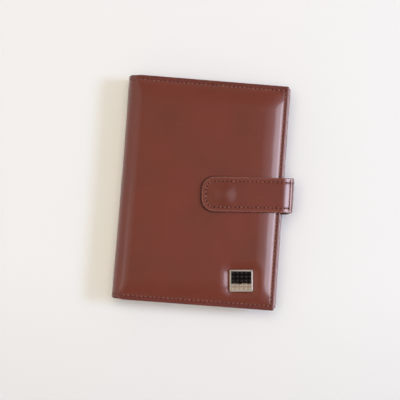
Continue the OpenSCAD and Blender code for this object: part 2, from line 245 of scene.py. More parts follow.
def edit(select="SELECT"):
    """Edit mode with everything selected, or nothing."""
    bpy.ops.object.mode_set(mode="EDIT")
    bpy.ops.mesh.select_all(action=select)


def done():
    """Back to object mode."""
    bpy.ops.object.mode_set(mode="OBJECT")


def join(name, pieces):
    """One piece of several, with a name of its own."""
    deselect()
    for piece in pieces:
        piece.select_set(True)
    bpy.context.view_layer.objects.active = pieces[0]
    bpy.ops.object.join()
    pieces[0].name = name
    pieces[0].data.name = name
    return pieces[0]


def named(piece, name, material):
    """Gives a piece its name and its material."""
    piece.name = name
    piece.data.name = name
    piece.data.materials.clear()
    piece.data.materials.append(material)
    return piece


def grid_places(piece, columns, rows):
    """Column and row of every vertex of a new grid, and whether it belongs to the lower face."""
    flat = np.empty(len(piece.data.vertices) * 3)
    piece.data.vertices.foreach_get("co", flat)
    flat = flat.reshape(-1, 3)
    i = np.rint((flat[:, 0] + 1) / 2 * (columns - 1)).astype(int)
    j = np.rint((flat[:, 1] + 1) / 2 * (rows - 1)).astype(int)
    return i, j, flat[:, 2] < -0.5


def add_layer(name, material, outer, inner, cut, wear_and_edge_shading_share):
    """Closed layer of leather or cloth: a flat grid, extruded to two faces, takes its formed shape.
    outer and inner are the two faces in mm, cut the flat place of each point, and the last gives how much
    edge tone each point takes: rubbing, and on the covers and the strap also painted shade and highlight."""
    columns, rows = outer.shape[:2]
    deselect()
    bpy.ops.mesh.primitive_grid_add(x_subdivisions=columns - 1, y_subdivisions=rows - 1, size=2)
    piece = bpy.context.object
    edit()
    bpy.ops.mesh.extrude_region_move(TRANSFORM_OT_translate={"value": (0, 0, -1)})
    done()
    i, j, low = grid_places(piece, columns, rows)
    mesh = piece.data
    place = np.where(low[:, None], inner[i, j], outer[i, j]) * MM
    mesh.vertices.foreach_set("co", place.ravel())
    corners = np.empty(len(mesh.loops), dtype=int)
    mesh.loops.foreach_get("vertex_index", corners)
    flat = stack(*cut)[i, j] * MM
    mesh.uv_layers[0].data.foreach_set("uv", flat[corners].ravel())
    wear_and_edge_shading = np.clip(wear_and_edge_shading_share, 0, 1)[i, j].astype(np.float32)
    mesh.attributes.new("wear_and_edge_shading_share", "FLOAT", "POINT").data.foreach_set("value", wear_and_edge_shading)
    mesh.update()
    edit()
    bpy.ops.mesh.normals_make_consistent(inside=False)
    done()
    bpy.ops.object.shade_smooth_by_angle(angle=math.radians(50))
    return named(piece, name, material)


# Covers

def cover_path(s, y=0.0):
    """Place and outward direction in X and Z along the front's outer face, from the middle of the spine.
    The roll of the spine is tighter where the seam holds it at head and tail."""
    turn = np.clip((s - WALL) / BEND, 0, 1) * math.pi / 2
    roll = SPINE_ROLL - SPINE_TIGHT * (1 - smooth(SPINE_HELD, SPINE_FREE, HALF_H - np.abs(y)))
    flat = (FRONT_X - SPINE_X - roll) / (FRONT_X - FOLD_X)
    x = SPINE_X + roll * (1 - np.cos(turn)) + np.maximum(s - WALL - BEND, 0) * flat
    z = TOP_Z - SPINE_R + SPINE_R * np.sin(turn) + np.minimum(s - WALL, 0)
    nx, nz = -np.cos(turn) / roll, np.sin(turn) / SPINE_R
    size = np.hypot(nx, nz)
    return x, z, nx / size, nz / size


def crown(d):
    """Share of the padding's full height at a distance from the seam."""
    return 1 - (1 - np.clip(d, 0, CROWN_RUN) / CROWN_RUN) ** 2


def badge_gap(x, y):
    """Distance outside the rim of the badge, below zero a little way under it."""
    dx = x - BADGE_X
    dy = y - BADGE_Y
    along = np.abs(dx * math.cos(BADGE_TURN) + dy * math.sin(BADGE_TURN)) - BADGE_W / 2 + BADGE_UNDER
    across = np.abs(dy * math.cos(BADGE_TURN) - dx * math.sin(BADGE_TURN)) - BADGE_H / 2 + BADGE_UNDER
    return np.hypot(np.maximum(along, 0), np.maximum(across, 0)) - BADGE_UNDER


def badge_dish(gap):
    """Depth to which the badge pulls the padding in: an even slope beside it that eases out."""
    even = DISH_SLOPE * (DISH_EVEN + DISH_EASE / 2 - gap)
    ease = DISH_SLOPE * np.clip(DISH_EVEN + DISH_EASE - gap, 0, None) ** 2 / (2 * DISH_EASE)
    return np.where(gap < DISH_EVEN, even, ease)


def cover_drop(s, y, run, pad, swell):
    """How far the outer face lies inside the cover's fullest form."""
    fore = run - s
    side = HALF_H - np.abs(y)
    near = np.minimum(fore, side)
    onto = smooth(WALL, WALL + BEND, s)
    depth = SPINE_PINCH + (pad - SPINE_PINCH) * onto
    rise = crown(soft_min(fore - SEAM_IN, side - SEAM_SIDE_IN, SEAM_BLEND))
    seam = np.minimum(fore - SEAM_IN, side - SEAM_SIDE_IN)
    drop = depth * (1 - rise)
    drop = drop + SWELL * rise * onto * (1 - swell)
    drop = drop + edge_round(near, EDGE_R)
    drop = drop + SEAM_DENT * ridge(seam, 0, SEAM_DENT_W) - LIP_RISE * ridge(near, LIP_IN, LIP_W)
    return drop, rise


def waist(x, y, front):
    """Slight drawing in of the spine, and of the front's fore edge, between head and tail."""
    middle = 1 - (y / HALF_H) ** 2
    fore = FORE_WAIST * smooth(10, FRONT_X, x) if front else 0
    return middle * (SPINE_WAIST * (1 - smooth(SPINE_X, -10, x)) - fore)


def rear_skew(x):
    """The rear is sewn a little askew: its fore edge lies nearer the head than the front's."""
    return REAR_SKEW * (x - SPINE_X) / (REAR_X - SPINE_X)


def cover_points(s, y, drop, run, front):
    """Row-frame points for places on the cut leather, set in by a drop."""
    a, b = round_corner(CORNER_R - (run - s), CORNER_R - (HALF_H - np.abs(y)), CORNER_R)
    s = run - CORNER_R + a
    y = np.where(y < 0, -1, 1) * (HALF_H - CORNER_R + b)
    x, z, nx, nz = cover_path(s, y)
    y = y * (1 - SPINE_SHORTER * (1 - smooth(SPINE_X, SPINE_X + SPINE_SHORT_RUN, x)))
    x = x - nx * drop + waist(x, y, front)
    z = z - nz * drop
    if front:
        return stack(x, y, z)
    return stack(x, y + rear_skew(x), TOP_Z - z)


def front_form(s, y, swell):
    """Outer face of the front: crowned, pressed in at the snap and the badge, drawn down along the strap."""
    drop, rise = cover_drop(s, y, FRONT_RUN, FRONT_PAD, swell)
    x = cover_path(s)[0]
    snap = 1 - smooth(SNAP_SEAT_R, SNAP_DISH_R, np.hypot(x - SNAP_X, y - SNAP_Y))
    dish = badge_dish(badge_gap(x, y))
    press = np.maximum(snap, np.clip(dish, 0, 1))
    drop = drop + snap * np.maximum(TOP_Z - SNAP_FLOOR_Z - drop, 0) + dish
    drop = drop + 0.05 * rise * (1 + waves(s, y, 34, 3.0)) + 0.05 * rise * waves(s, y, 13, 8.0)
    soft_roll = smooth(WALL, WALL + 5, s) * (1 - smooth(WALL + BEND, WALL + BEND + 6, s))
    drop = drop + SPINE_SLACK * soft_roll * (1 + waves(s, y, 23, 14.0))
    strap_line = STRAP_Y + (x - REAR_X) * math.tan(STRAP_TURN)
    pull = ridge(y, strap_line, STRAP_PULL_W) * smooth(10, 50, x) * (1 - press)
    drop = drop + STRAP_PULL * rise * pull
    return cover_points(s, y, drop, FRONT_RUN, True)


def rear_form(s, y, swell):
    """Outer face of the rear, flatter than the front."""
    drop, rise = cover_drop(s, y, REAR_RUN, REAR_PAD, swell)
    drop = drop + 0.04 * rise * (1 + waves(s, y, 30, 21.0))
    return cover_points(s, y, drop, REAR_RUN, False)


def inner_drop(s, pad, front):
    """Depth of a cover's inner face under its fullest outer form; the rear's fore edge is skived thin."""
    deep = SPINE_T + (pad + MARGIN_T - SPINE_T) * smooth(WALL + 0.3 * BEND, WALL + 0.85 * BEND, s)
    if front:
        return deep
    return deep - REAR_THINNING * np.maximum(REAR_BEVEL - (REAR_RUN - s), 0)


def cover_lines(run):
    """Grid over a cut cover, fine round the bend of the spine and along the sewn edges."""
    edge = lines(0.0, (EDGE_R * 0.1, 1), (EDGE_R * 0.4, 1), (EDGE_R, 2), (1.4, 1), (3.4, 10), (16.0, 11))
    spine = lines(0.0, (WALL, 2), (WALL + BEND, 18), (run - edge[-1], 54))[:-1]
    columns = np.concatenate([spine, run - edge[::-1]])
    return np.meshgrid(columns, between(-HALF_H, HALF_H, edge, 76), indexing="ij")


def cloth_swell(form, run):
    """Swelling of the padded leather between its seams, by a short cloth run under light pressure.
    Gives the rise at any place of the cut, from 0 at the seams to 1 where it is fullest."""
    across = np.linspace(0, run, 46)
    along = np.linspace(-HALF_H, HALF_H, 58)
    s, y = np.meshgrid(across, along, indexing="ij")
    near = np.minimum(run - s, HALF_H - np.abs(y))
    rise = run_cloth(form(s, y, np.zeros_like(s)) / 100, (near < 3.2) | (s < WALL + BEND / 2))
    rise = np.clip(rise / np.percentile(rise, 97), 0, 1)

    def swell(s, y):
        u = np.clip(s / run * (len(across) - 1), 0, len(across) - 1.001)
        v = np.clip((y / HALF_H + 1) / 2 * (len(along) - 1), 0, len(along) - 1.001)
        i, j = u.astype(int), v.astype(int)
        fu, fv = u - i, v - j
        low = rise[i, j] * (1 - fu) + rise[i + 1, j] * fu
        high = rise[i, j + 1] * (1 - fu) + rise[i + 1, j + 1] * fu
        return low * (1 - fv) + high * fv
    return swell


def run_cloth(points, held):
    """Cloth under pressure with its seams held; gives how far each point of the sheet moved."""
    columns, rows = points.shape[:2]
    deselect()
    bpy.ops.mesh.primitive_grid_add(x_subdivisions=columns - 1, y_subdivisions=rows - 1, size=2)
    sheet = bpy.context.object
    i, j, _ = grid_places(sheet, columns, rows)
    sheet.data.vertices.foreach_set("co", points[i, j].ravel())
    sheet.data.update()
    group = sheet.vertex_groups.new(name="held")
    group.add([k for k in range(len(i)) if held[i[k], j[k]]], 1.0, "REPLACE")
    cloth = sheet.modifiers.new("pressure", "CLOTH")
    cloth.settings.quality = 6
    cloth.settings.vertex_group_mass = "held"
    cloth.settings.use_pressure = True
    cloth.settings.uniform_pressure_force = CLOTH_PRESSURE
    cloth.settings.effector_weights.gravity = 0
    cloth.settings.tension_stiffness = CLOTH_STIFFNESS
    cloth.settings.compression_stiffness = CLOTH_STIFFNESS
    cloth.settings.bending_stiffness = 2
    cloth.point_cache.frame_start = 1
    cloth.point_cache.frame_end = CLOTH_STEPS
    scene = bpy.context.scene
    for step in range(1, CLOTH_STEPS + 1):
        scene.frame_set(step)
    seen = sheet.evaluated_get(bpy.context.evaluated_depsgraph_get())
    moved = np.empty(len(i) * 3)
    seen.data.vertices.foreach_get("co", moved)
    far = np.linalg.norm(moved.reshape(-1, 3) - points[i, j], axis=1)
    scene.frame_set(1)
    bpy.data.objects.remove(sheet)
    result = np.zeros((columns, rows))
    result[i, j] = far
    return result


def add_cover(name, material, form, run, pad, front):
    """Padded leather of one cover and its half of the spine, with turned edges and a sunk seam."""
    swell = cloth_swell(form, run)
    s, y = cover_lines(run)
    outer = form(s, y, swell(s, y))
    near = np.minimum(run - s, HALF_H - np.abs(y))
    deep = inner_drop(s, pad, front) - edge_round(near, EDGE_R if front else REAR_EDGE_R)
    inner = cover_points(s, y, deep, run, front)
    seam = np.minimum(run - s - SEAM_IN, HALF_H - np.abs(y) - SEAM_SIDE_IN)
    # Edge tone share: rubbing along the edges, the seam margin and the spine's bend; the tone paints the
    # front's margin in shade and gives the rear's edges a painted sheen.
    wear_and_edge_shading_share = np.maximum(np.exp(-near / 0.7), 1 - smooth(-0.5, 0.4, seam))
    wear_and_edge_shading_share = wear_and_edge_shading_share + 0.3 * ridge(s, WALL + BEND * 0.7, 4)
    cover = add_layer(name, material, outer, inner, (s, y), wear_and_edge_shading_share)
    return cover, swell


def add_lining(name, material, run, pad, front):
    """Woven lining of one cover and its half of the spine, glued to the inner face."""
    end = run - (LINING_IN if front else REAR_HEM)
    half = HALF_H - LINING_IN
    edge = lines(0.0, (0.15, 1), (0.5, 1), (3.0, 1))
    spine = lines(0.0, (WALL, 2), (WALL + BEND + 4, 20), (end - edge[-1], 40))[:-1]
    columns = np.concatenate([spine, end - edge[::-1]])
    s, y = np.meshgrid(columns, between(-half, half, edge, 60), indexing="ij")
    near = np.minimum(end - s, half - np.abs(y))
    under = inner_drop(s, pad, front)
    quilt = 0.03 * waves(s, y, 14, 5.0) * smooth(0, 4, near)
    inner = cover_points(s, y, under + LINING_T - edge_round(near, LINING_EDGE_R) + quilt, run, front)
    outer = cover_points(s, y, under + 0.02, run, front)
    lining = add_layer(name, material, outer, inner, (s, y), np.zeros_like(s))
    return lining


def bend_front(piece):
    """Bakes the piece's placing into its mesh."""
    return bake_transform(piece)


def bend_rear(piece):
    """Bakes the piece's placing into its mesh."""
    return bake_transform(piece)


# Stitches

def model_stitch(thread, hole):
    """One stitch, 1 mm long along X: a laid thread that dips at both ends, and its needle hole, a shallow
    disc that carries painted shade.
    """
    deselect()
    bpy.ops.mesh.primitive_uv_sphere_add(segments=8, ring_count=6, radius=0.5, rotation=(0, math.pi / 2, 0))
    bpy.ops.object.transform_apply(rotation=True)
    strand = bpy.context.object
    for v in strand.data.vertices:
        x, y, z = v.co
        full = math.sqrt(max(1 - (2 * abs(x)) ** 4, 0))
        ring = math.hypot(y, z)
        if ring > 1e-6:
            y, z = y / ring * full, z / ring * full
        v.co = (x, 0.5 * y, 0.5 * z - 0.55 * (2 * abs(x)) ** 5)
    strand.data.materials.append(thread)
    deselect()
    bpy.ops.mesh.primitive_circle_add(vertices=10, radius=0.5, fill_type="TRIFAN", location=(EYE_X, 0, 0))
    bpy.ops.object.transform_apply(location=True)
    eye = bpy.context.object
    edit("DESELECT")
    bpy.ops.mesh.select_mode(type="VERT")
    done()
    middle = min(eye.data.vertices, key=lambda v: (v.co - Vector((EYE_X, 0, 0))).length)
    middle.select = True
    bpy.ops.object.mode_set(mode="EDIT")
    bpy.ops.transform.translate(value=(0, 0, -EYE_DEPTH))
    done()
    for v in eye.data.vertices:
        v.co.x = EYE_X + (v.co.x - EYE_X) * EYE_LONG
        v.co.y = v.co.y * EYE_WIDE
    eye.data.materials.append(hole)
    deselect()
    eye.select_set(True)
    strand.select_set(True)
    bpy.context.view_layer.objects.active = strand
    bpy.ops.object.join()
    bpy.ops.object.shade_smooth()
    return strand


def sew(name, model, starts, ends, ups, width, height, lift):
    """Row of slightly uneven stitches between points in mm, each a copy of the stitch with its own mesh."""
    copies = []
    for start, end, up in zip(starts, ends, ups):
        slack = noise.noise(Vector((2.3 * len(copies), 7 * width, 4.0)))
        run = Vector(end - start)
        along = run.normalized()
        rise = Vector(up)
        rise = (rise - along * rise.dot(along)).normalized()
        side = rise.cross(along)
        middle = (Vector(start) + Vector(end)) / 2 + rise * lift + side * STITCH_WANDER * slack
        stitch = model.copy()
        stitch.data = model.data.copy()
        size = run.length * STITCH_FILL
        broad = width * (1 + STITCH_UNEVEN * slack)
        turn = Matrix((along * size, side * broad, rise * height)).transposed()
        stitch.data.transform(Matrix.Translation(middle * MM) @ (turn * MM).to_4x4())
        bpy.context.collection.objects.link(stitch)
        copies.append(stitch)
    return join(name, copies)


def seam_steps(corners):
    """Start and end places of stitches along straight runs between corners, a whole number on each run."""
    starts, ends = [], []
    for a, b in zip(corners[:-1], corners[1:]):
        a, b = np.array(a, float), np.array(b, float)
        count = max(int(round(np.linalg.norm(b - a) / STITCH_PITCH)), 1)
        places = a + (b - a) * np.linspace(0, 1, count + 1)[:, None]
        starts.append(places[:-1])
        ends.append(places[1:])
    return np.concatenate(starts), np.concatenate(ends)


def sew_on(name, model, form, corners, facing, look):
    """Stitches on a formed face: form gives the point for two coordinates, facing the way it looks."""
    starts, ends = seam_steps(corners)
    first = form(starts[:, 0], starts[:, 1])
    last = form(ends[:, 0], ends[:, 1])
    middle = (starts + ends) / 2
    ups = facing(middle[:, 0], middle[:, 1])
    return sew(name, model, first, last, ups, **look)


def cover_facing(front):
    """Outward way of a cover's face along its path."""
    def facing(s, y):
        _, _, nx, nz = cover_path(s)
        return stack(nx, np.zeros_like(nx), nz if front else -nz)
    return facing


def level_facing(way):
    """Facing of a level piece: 1 looks up, -1 down."""
    def facing(x, y):
        return stack(np.zeros_like(x), np.zeros_like(x), way * np.ones_like(x))
    return facing


def sew_cover(name, model, form, swell, run, front):
    """Seam round head, fore edge and tail of a cover, from the middle of the spine and back to it."""
    side = HALF_H - SEAM_SIDE_IN
    fore = run - SEAM_IN
    near_spine = 0.6
    corners = [(near_spine, side), (fore, side), (fore, -side), (near_spine, -side)]

    def face(s, y):
        return form(s, y, swell(s, y))

    return sew_on(name, model, face, corners, cover_facing(front), COVER_STITCH)


# Strap

# Upper bend of the strap, up the side and over: length of each run and the slope in degrees at its end
FOLD_START = 90
STRAP_FOLD = ((1.185, 90), (0.95, 21.5), (1.1, 21.5), (0.3, 20), (2.2, 20), (2.4, 0))
FOLD_IN = 6.23
FOLD_RUN = sum(run for run, _ in STRAP_FOLD)
FOLD_CREASE = sum(run for run, _ in STRAP_FOLD[:3]) + STRAP_FOLD[3][0] / 2
FOLD_CREASE_DEEP = 0.2
FOLD_CREASE_W = 0.3
STRAP_RUNS = np.cumsum([
    STRAP_ROOT + STRAP_OUT - STRAP_LOW_R,
    STRAP_LOW_R * math.pi / 2,
    STRAP_TOP_Z - STRAP_TOP_R - STRAP_LOW_Z - STRAP_LOW_R,
    FOLD_RUN,
    STRAP_REACH + STRAP_OUT - FOLD_IN])
STRAP_MID = (STRAP_RUNS[1] + STRAP_RUNS[2]) / 2
STRAP_END = STRAP_RUNS[4]


def fold_line():
    """The upper bend in fine steps: run, slope, distance in and height, fitted between side and tab."""
    ends = np.cumsum([0] + [run for run, _ in STRAP_FOLD])
    t = np.linspace(0, FOLD_RUN, 400)
    slopes = [FOLD_START] + [slope for _, slope in STRAP_FOLD]
    slope = np.radians(np.interp(t, ends, slopes))
    step = t[1] - t[0]
    into = np.concatenate([[0], np.cumsum((np.cos(slope[:-1]) + np.cos(slope[1:])) / 2) * step])
    rise = np.concatenate([[0], np.cumsum((np.sin(slope[:-1]) + np.sin(slope[1:])) / 2) * step])
    return t, slope, into * FOLD_IN / into[-1], rise * STRAP_TOP_R / rise[-1]


FOLD_LINE = fold_line()


def strap_path(s):
    """Glue line of the strap beside the cover: distance out, height and outward direction."""
    r0, r1, r2, r3, _ = STRAP_RUNS
    low = np.clip((s - r0) / STRAP_LOW_R, 0, math.pi / 2)
    t, slope, into, rise = FOLD_LINE
    bend = np.clip(s - r2, 0, FOLD_RUN)
    out = -STRAP_ROOT + np.minimum(s, r0) + STRAP_LOW_R * np.sin(low)
    out = out - np.interp(bend, t, into) - np.maximum(s - r3, 0)
    z = STRAP_LOW_Z + STRAP_LOW_R * (1 - np.cos(low))
    z = z + np.clip(s - r1, 0, r2 - r1) + np.interp(bend, t, rise)
    turn = low + math.pi / 2 - np.interp(bend, t, slope)
    return out, z, np.sin(turn), -np.cos(turn)


def fold_skew(s, v):
    """The side and the upper bend follow the cover's fore edge rather than the strap's own square."""
    r0, r1, _, r3, _ = STRAP_RUNS
    return v * FOLD_SKEW * smooth(r0 - 2, r1, s) * (1 - smooth(r3 + 2, r3 + 14, s))


def strap_frame(out, across, z):
    """Row-frame points for places beside the rear cover's fore edge."""
    c, n = math.cos(STRAP_TURN), math.sin(STRAP_TURN)
    return stack(REAR_X + out * c - across * n, STRAP_Y + out * n + across * c, z)


def strap_points(s, v, off):
    """Points on the strap at a distance from its glue line, its tip rounded."""
    a, b = round_corner(STRAP_TIP_R - (STRAP_END - s), STRAP_TIP_R - (STRAP_HALF - np.abs(v)), STRAP_TIP_R)
    s = STRAP_END - STRAP_TIP_R + a
    v = np.where(v < 0, -1, 1) * (STRAP_HALF - STRAP_TIP_R + b)
    out, z, no, nz = strap_path(s)
    return strap_frame(out + no * off + fold_skew(s, v), v, z + nz * off)


def strap_near(s, v):
    """Distance from the strap's nearest edge."""
    return np.minimum(STRAP_END - s, STRAP_HALF - np.abs(v))


def strap_skived(s, full):
    """Thickness of a strap layer, skived thin where its root lies in the rear seam."""
    return STRAP_SKIVED_T + (full - STRAP_SKIVED_T) * smooth(3.6, 6.4, s)


def strap_face(s, v):
    """Height of the outer strap leather over the glue line."""
    near = strap_near(s, v)
    high = strap_skived(s, STRAP_LEATHER_T) - STRAP_MARGIN
    high = high + STRAP_MARGIN * smooth(STRAP_SEAM_IN, STRAP_SEAM_IN + 3, near)
    high = high - STRAP_GROOVE * ridge(near, STRAP_SEAM_IN, 0.5)
    crease = STRAP_RUNS[2] + FOLD_CREASE
    high = high - FOLD_CREASE_DEEP * ridge(s, crease, FOLD_CREASE_W) * smooth(0.3, 2, near)
    apart = np.hypot(s - (STRAP_END - SNAP_FROM_TIP), v) / SNAP_BUMP_R
    high = high + SNAP_BUMP * np.clip(1 - apart ** 2, 0, 1) ** 2
    high = high + 0.03 * waves(s, v, 11, 40.0)
    return high - edge_round(near, 0.4)


def strap_outer(s, v):
    """Points on the outer face of the strap."""
    return strap_points(s, v, strap_face(s, v))


def strap_grid(start, end):
    """Grid over a length of the strap, fine at its bends and edges."""
    edge = lines(0.0, (0.06, 1), (0.2, 1), (0.5, 2), (1.4, 2), (3.2, 9))
    r0, r1, r2, r3, r4 = STRAP_RUNS
    marks = [(r0, 8), (r1, 10), (r2, 14), (r2 + 2.4, 12), (r2 + 4.2, 20), (r3 + 3, 24), (r4 - edge[-1], 46)]
    columns = np.concatenate([lines(0.0, *marks)[:-1], r4 - edge[::-1]])
    columns = np.unique(np.concatenate([columns[(columns > start) & (columns < end)], [start, end]]))
    return np.meshgrid(columns, between(-STRAP_HALF, STRAP_HALF, edge, 16), indexing="ij")


def add_strap_leather(name, material, start, end):
    """Outer leather of a length of the strap, lying on the glue line."""
    s, v = strap_grid(start, end)
    near = strap_near(s, v)
    outer = strap_outer(s, v)
    inner = strap_points(s, v, np.minimum(edge_round(near, 0.5) * 0.35 + 0.01, strap_face(s, v) - 0.1))
    # Edge tone share of the strap: rubbing, and a painted highlight along its rounded rim.
    return add_layer(name, material, outer, inner, (s, v), np.exp(-near / 0.45))


def add_strap_lining(name, material, start, end):
    """Lining leather of a length of the strap, under the glue line, with its own sunk seam."""
    s, v = strap_grid(start, end)
    near = strap_near(s, v)
    rounding = edge_round(near, 0.45)
    deep = strap_skived(s, STRAP_LINING_T) - rounding
    deep = deep - 0.1 * ridge(near, STRAP_SEAM_IN, 0.42)
    outer = strap_points(s, v, -rounding * 0.35 - 0.01)
    inner = strap_points(s, v, -deep)
    return add_layer(name, material, outer, inner, (s, v), np.exp(-near / 0.5))


def bend_strap_root(piece):
    """Bakes the piece's placing into its mesh."""
    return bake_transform(piece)


def bend_strap_tab(piece):
    """Bakes the piece's placing into its mesh."""
    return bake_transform(piece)


def strap_facing(s, v):
    """Outward way of the strap's outer face."""
    _, _, no, nz = strap_path(s)
    return stack(no * math.cos(STRAP_TURN), no * math.sin(STRAP_TURN), nz)


def strap_seam(s, v):
    """Bottom of the seam's groove in the outer strap leather."""
    out, z, no, nz = strap_path(s)
    high = STRAP_LEATHER_T - STRAP_MARGIN - STRAP_GROOVE
    return strap_frame(out + no * high + fold_skew(s, v), v, z + nz * high)


def sew_strap(model):
    """Seam round the strap: both sides from the root to the tip, and round the tip."""
    v = STRAP_HALF - STRAP_SEAM_IN
    end = STRAP_END - STRAP_SEAM_IN
    r = STRAP_TIP_R - STRAP_SEAM_IN
    turn = np.linspace(0, math.pi / 2, 5)
    tip = [(end - r + r * math.sin(t), v - r + r * math.cos(t)) for t in turn]
    tip += [(a, -b) for a, b in tip[::-1]]

    def row(name, corners):
        return sew_on(name, model, strap_seam, corners, strap_facing, STRAP_STITCH)

    tab = row("strap_tab_stitches", [(STRAP_MID, v)] + tip + [(STRAP_MID, -v)])
    start = STRAP_RUNS[0] - 0.6
    head_side = row("strap_root_stitches", [(start, v), (STRAP_MID, v)])
    tail_side = row("strap_root_stitches_b", [(STRAP_MID, -v), (start, -v)])
    return join("strap_root_stitches", [head_side, tail_side]), tab


# Materials

def new_material(name):
    """Material with its node tree and its shader."""
    material = bpy.data.materials.new(name)
    material.use_nodes = True
    tree = material.node_tree
    return material, tree, tree.nodes["Principled BSDF"]


def node(tree, kind, inputs=None, **settings):
    """New node with its settings made and its inputs linked to sockets or set to values."""
    made = tree.nodes.new(kind)
    for key, value in settings.items():
        setattr(made, key, value)
    for key, value in (inputs or {}).items():
        if isinstance(value, bpy.types.NodeSocket):
            tree.links.new(value, made.inputs[key])
        else:
            made.inputs[key].default_value = value
    return made


def linear(r, g, b):
    """Colour of a paint chip given in 0 to 255, as the shader wants it."""
    def one(c):
        c = c / 255
        return c / 12.92 if c <= 0.04045 else ((c + 0.055) / 1.055) ** 2.4
    return one(r), one(g), one(b), 1


def millimetres(tree, kind):
    """Coordinates in millimetres, of the cut piece or of the object."""
    place = node(tree, "ShaderNodeTexCoord")
    scaled = node(tree, "ShaderNodeMapping", {"Vector": place.outputs[kind], "Scale": (1000, 1000, 1000)})
    return scaled.outputs["Vector"]


def split(tree, place):
    """Sockets of the three coordinates of a place."""
    return node(tree, "ShaderNodeSeparateXYZ", {"Vector": place}).outputs


def cloud(tree, place, scale, detail=2.0, roughness=0.5, stretch=None):
    """Uneven clouds, drawn out along the axes where a stretch is given."""
    if stretch:
        place = node(tree, "ShaderNodeMapping", {"Vector": place, "Scale": stretch}).outputs["Vector"]
    inputs = {"Vector": place, "Scale": scale, "Detail": detail, "Roughness": roughness}
    return node(tree, "ShaderNodeTexNoise", inputs).outputs["Fac"]


def ramp(tree, value, low, high, start=0.0, end=1.0):
    """Carries a value from one range to another."""
    inputs = {"Value": value, "From Min": low, "From Max": high, "To Min": start, "To Max": end}
    return node(tree, "ShaderNodeMapRange", inputs).outputs["Result"]


def mix(tree, share, a, b):
    """Colour between two others."""
    return node(tree, "ShaderNodeMix", {0: share, 6: a, 7: b}, data_type="RGBA").outputs[2]


def work_out(tree, kind, a, b=0.0):
    """One step of arithmetic."""
    return node(tree, "ShaderNodeMath", {0: a, 1: b}, operation=kind).outputs[0]


def times(tree, a, b):
    return work_out(tree, "MULTIPLY", a, b)


def plus(tree, a, b):
    return work_out(tree, "ADD", a, b)


def minus(tree, a, b):
    return work_out(tree, "SUBTRACT", a, b)


def coat_with(tree, skin, colour, roughness):
    """Links the colour and the roughness to the shader."""
    tree.links.new(colour, skin.inputs["Base Color"])
    tree.links.new(roughness, skin.inputs["Roughness"])


def emboss(tree, skin, height, strength, distance=0.0001):
    """Links a height to the shader as fine relief."""
    bump = node(tree, "ShaderNodeBump", {"Height": height, "Strength": strength, "Distance": distance})
    tree.links.new(bump.outputs["Normal"], skin.inputs["Normal"])


def strap_painted_shadow(tree, place):
    """Painted shadow: a dark line on the front where the edge of the closed strap lies, from the place on the
    cut leather.
    """
    axes = split(tree, place)
    x = plus(tree, axes["X"], SPINE_X + SPINE_ROLL - WALL - BEND - REAR_X)
    y = minus(tree, axes["Y"], STRAP_Y)
    c, n = math.cos(STRAP_TURN), math.sin(STRAP_TURN)
    along = plus(tree, times(tree, x, c), times(tree, y, n))
    across = minus(tree, times(tree, y, c), times(tree, x, n))
    past = minus(tree, STRAP_TIP_R - STRAP_REACH, along)
    aside = minus(tree, work_out(tree, "ABSOLUTE", across), STRAP_HALF - STRAP_TIP_R)
    round_tip = node(tree, "ShaderNodeCombineXYZ", {"X": work_out(tree, "MAXIMUM", past),
                                                    "Y": work_out(tree, "MAXIMUM", aside)})
    reach = node(tree, "ShaderNodeVectorMath", {0: round_tip.outputs[0]}, operation="LENGTH").outputs["Value"]
    outside = ramp(tree, reach, STRAP_TIP_R + 1.3, STRAP_TIP_R + 0.5)
    inside = ramp(tree, reach, STRAP_TIP_R - 2, STRAP_TIP_R)
    towards_tip = ramp(tree, along, -32.0, -50.0, 0.1, 1.0)
    return times(tree, times(tree, outside, inside), towards_tip)


def leather(name, deep, pale, wear_and_edge_shading, roughness, grain, coat, painted_strap_shadow=False):
    """Smooth tanned leather: clouded colour, pores, faint creases, a waxed coat, an edge tone that is rubbing
    and also painted shade and highlight, and where asked a painted shadow of the strap's edge.
    """
    material, tree, skin = new_material(name)
    place = millimetres(tree, "UV")
    broad = ramp(tree, cloud(tree, place, 0.035, 3.0), 0.3, 0.7)
    fine = cloud(tree, place, 0.33, 4.0, 0.6)
    tint = plus(tree, broad, times(tree, fine, 0.5))
    colour = mix(tree, ramp(tree, tint, 0.2, 1.2), deep, pale)
    # Edge tone: rubbing that also stands in for light and shade, as painted shade on the front's seam margin,
    # a painted highlight on the strap's rim and a painted sheen on the rear's edges.
    wear_and_edge_shading_share = node(tree, "ShaderNodeAttribute", attribute_name="wear_and_edge_shading_share").outputs["Fac"]
    wear_and_edge_shading_amount = times(tree, wear_and_edge_shading_share, ramp(tree, cloud(tree, place, 0.7, 3.0), 0.3, 0.75))
    colour = mix(tree, wear_and_edge_shading_amount, colour, wear_and_edge_shading)
    scuffs = ramp(tree, cloud(tree, place, 0.25, 5.0, 0.7, (0.25, 1.4, 1)), 0.62, 0.74)
    colour = mix(tree, times(tree, scuffs, 0.3), colour, linear(150, 92, 76))
    # Painted shadow of the closed strap's edge on the front.
    if painted_strap_shadow:
        colour = mix(tree, times(tree, strap_painted_shadow(tree, place), 0.9), colour, linear(58, 16, 10))
    rough = ramp(tree, fine, 0.3, 0.7, roughness - 0.04, roughness + 0.06)
    rough = plus(tree, rough, times(tree, wear_and_edge_shading_amount, 0.12))
    rough = plus(tree, rough, times(tree, scuffs, 0.1))
    coat_with(tree, skin, colour, rough)
    pores = node(tree, "ShaderNodeTexVoronoi", {"Vector": place, "Scale": 2.4, "Randomness": 1.0})
    pebble = times(tree, pores.outputs["Distance"], cloud(tree, place, 1.1, 3.0))
    creases = ramp(tree, cloud(tree, place, 0.16, 6.0, 0.65, (0.4, 1.5, 1)), 0.47, 0.53)
    emboss(tree, skin, plus(tree, times(tree, pebble, 0.05), times(tree, creases, 0.012)), grain, 0.001)
    skin.inputs["Coat Weight"].default_value = coat
    skin.inputs["Coat Roughness"].default_value = 0.15
    skin.inputs["Specular IOR Level"].default_value = 0.3
    return material


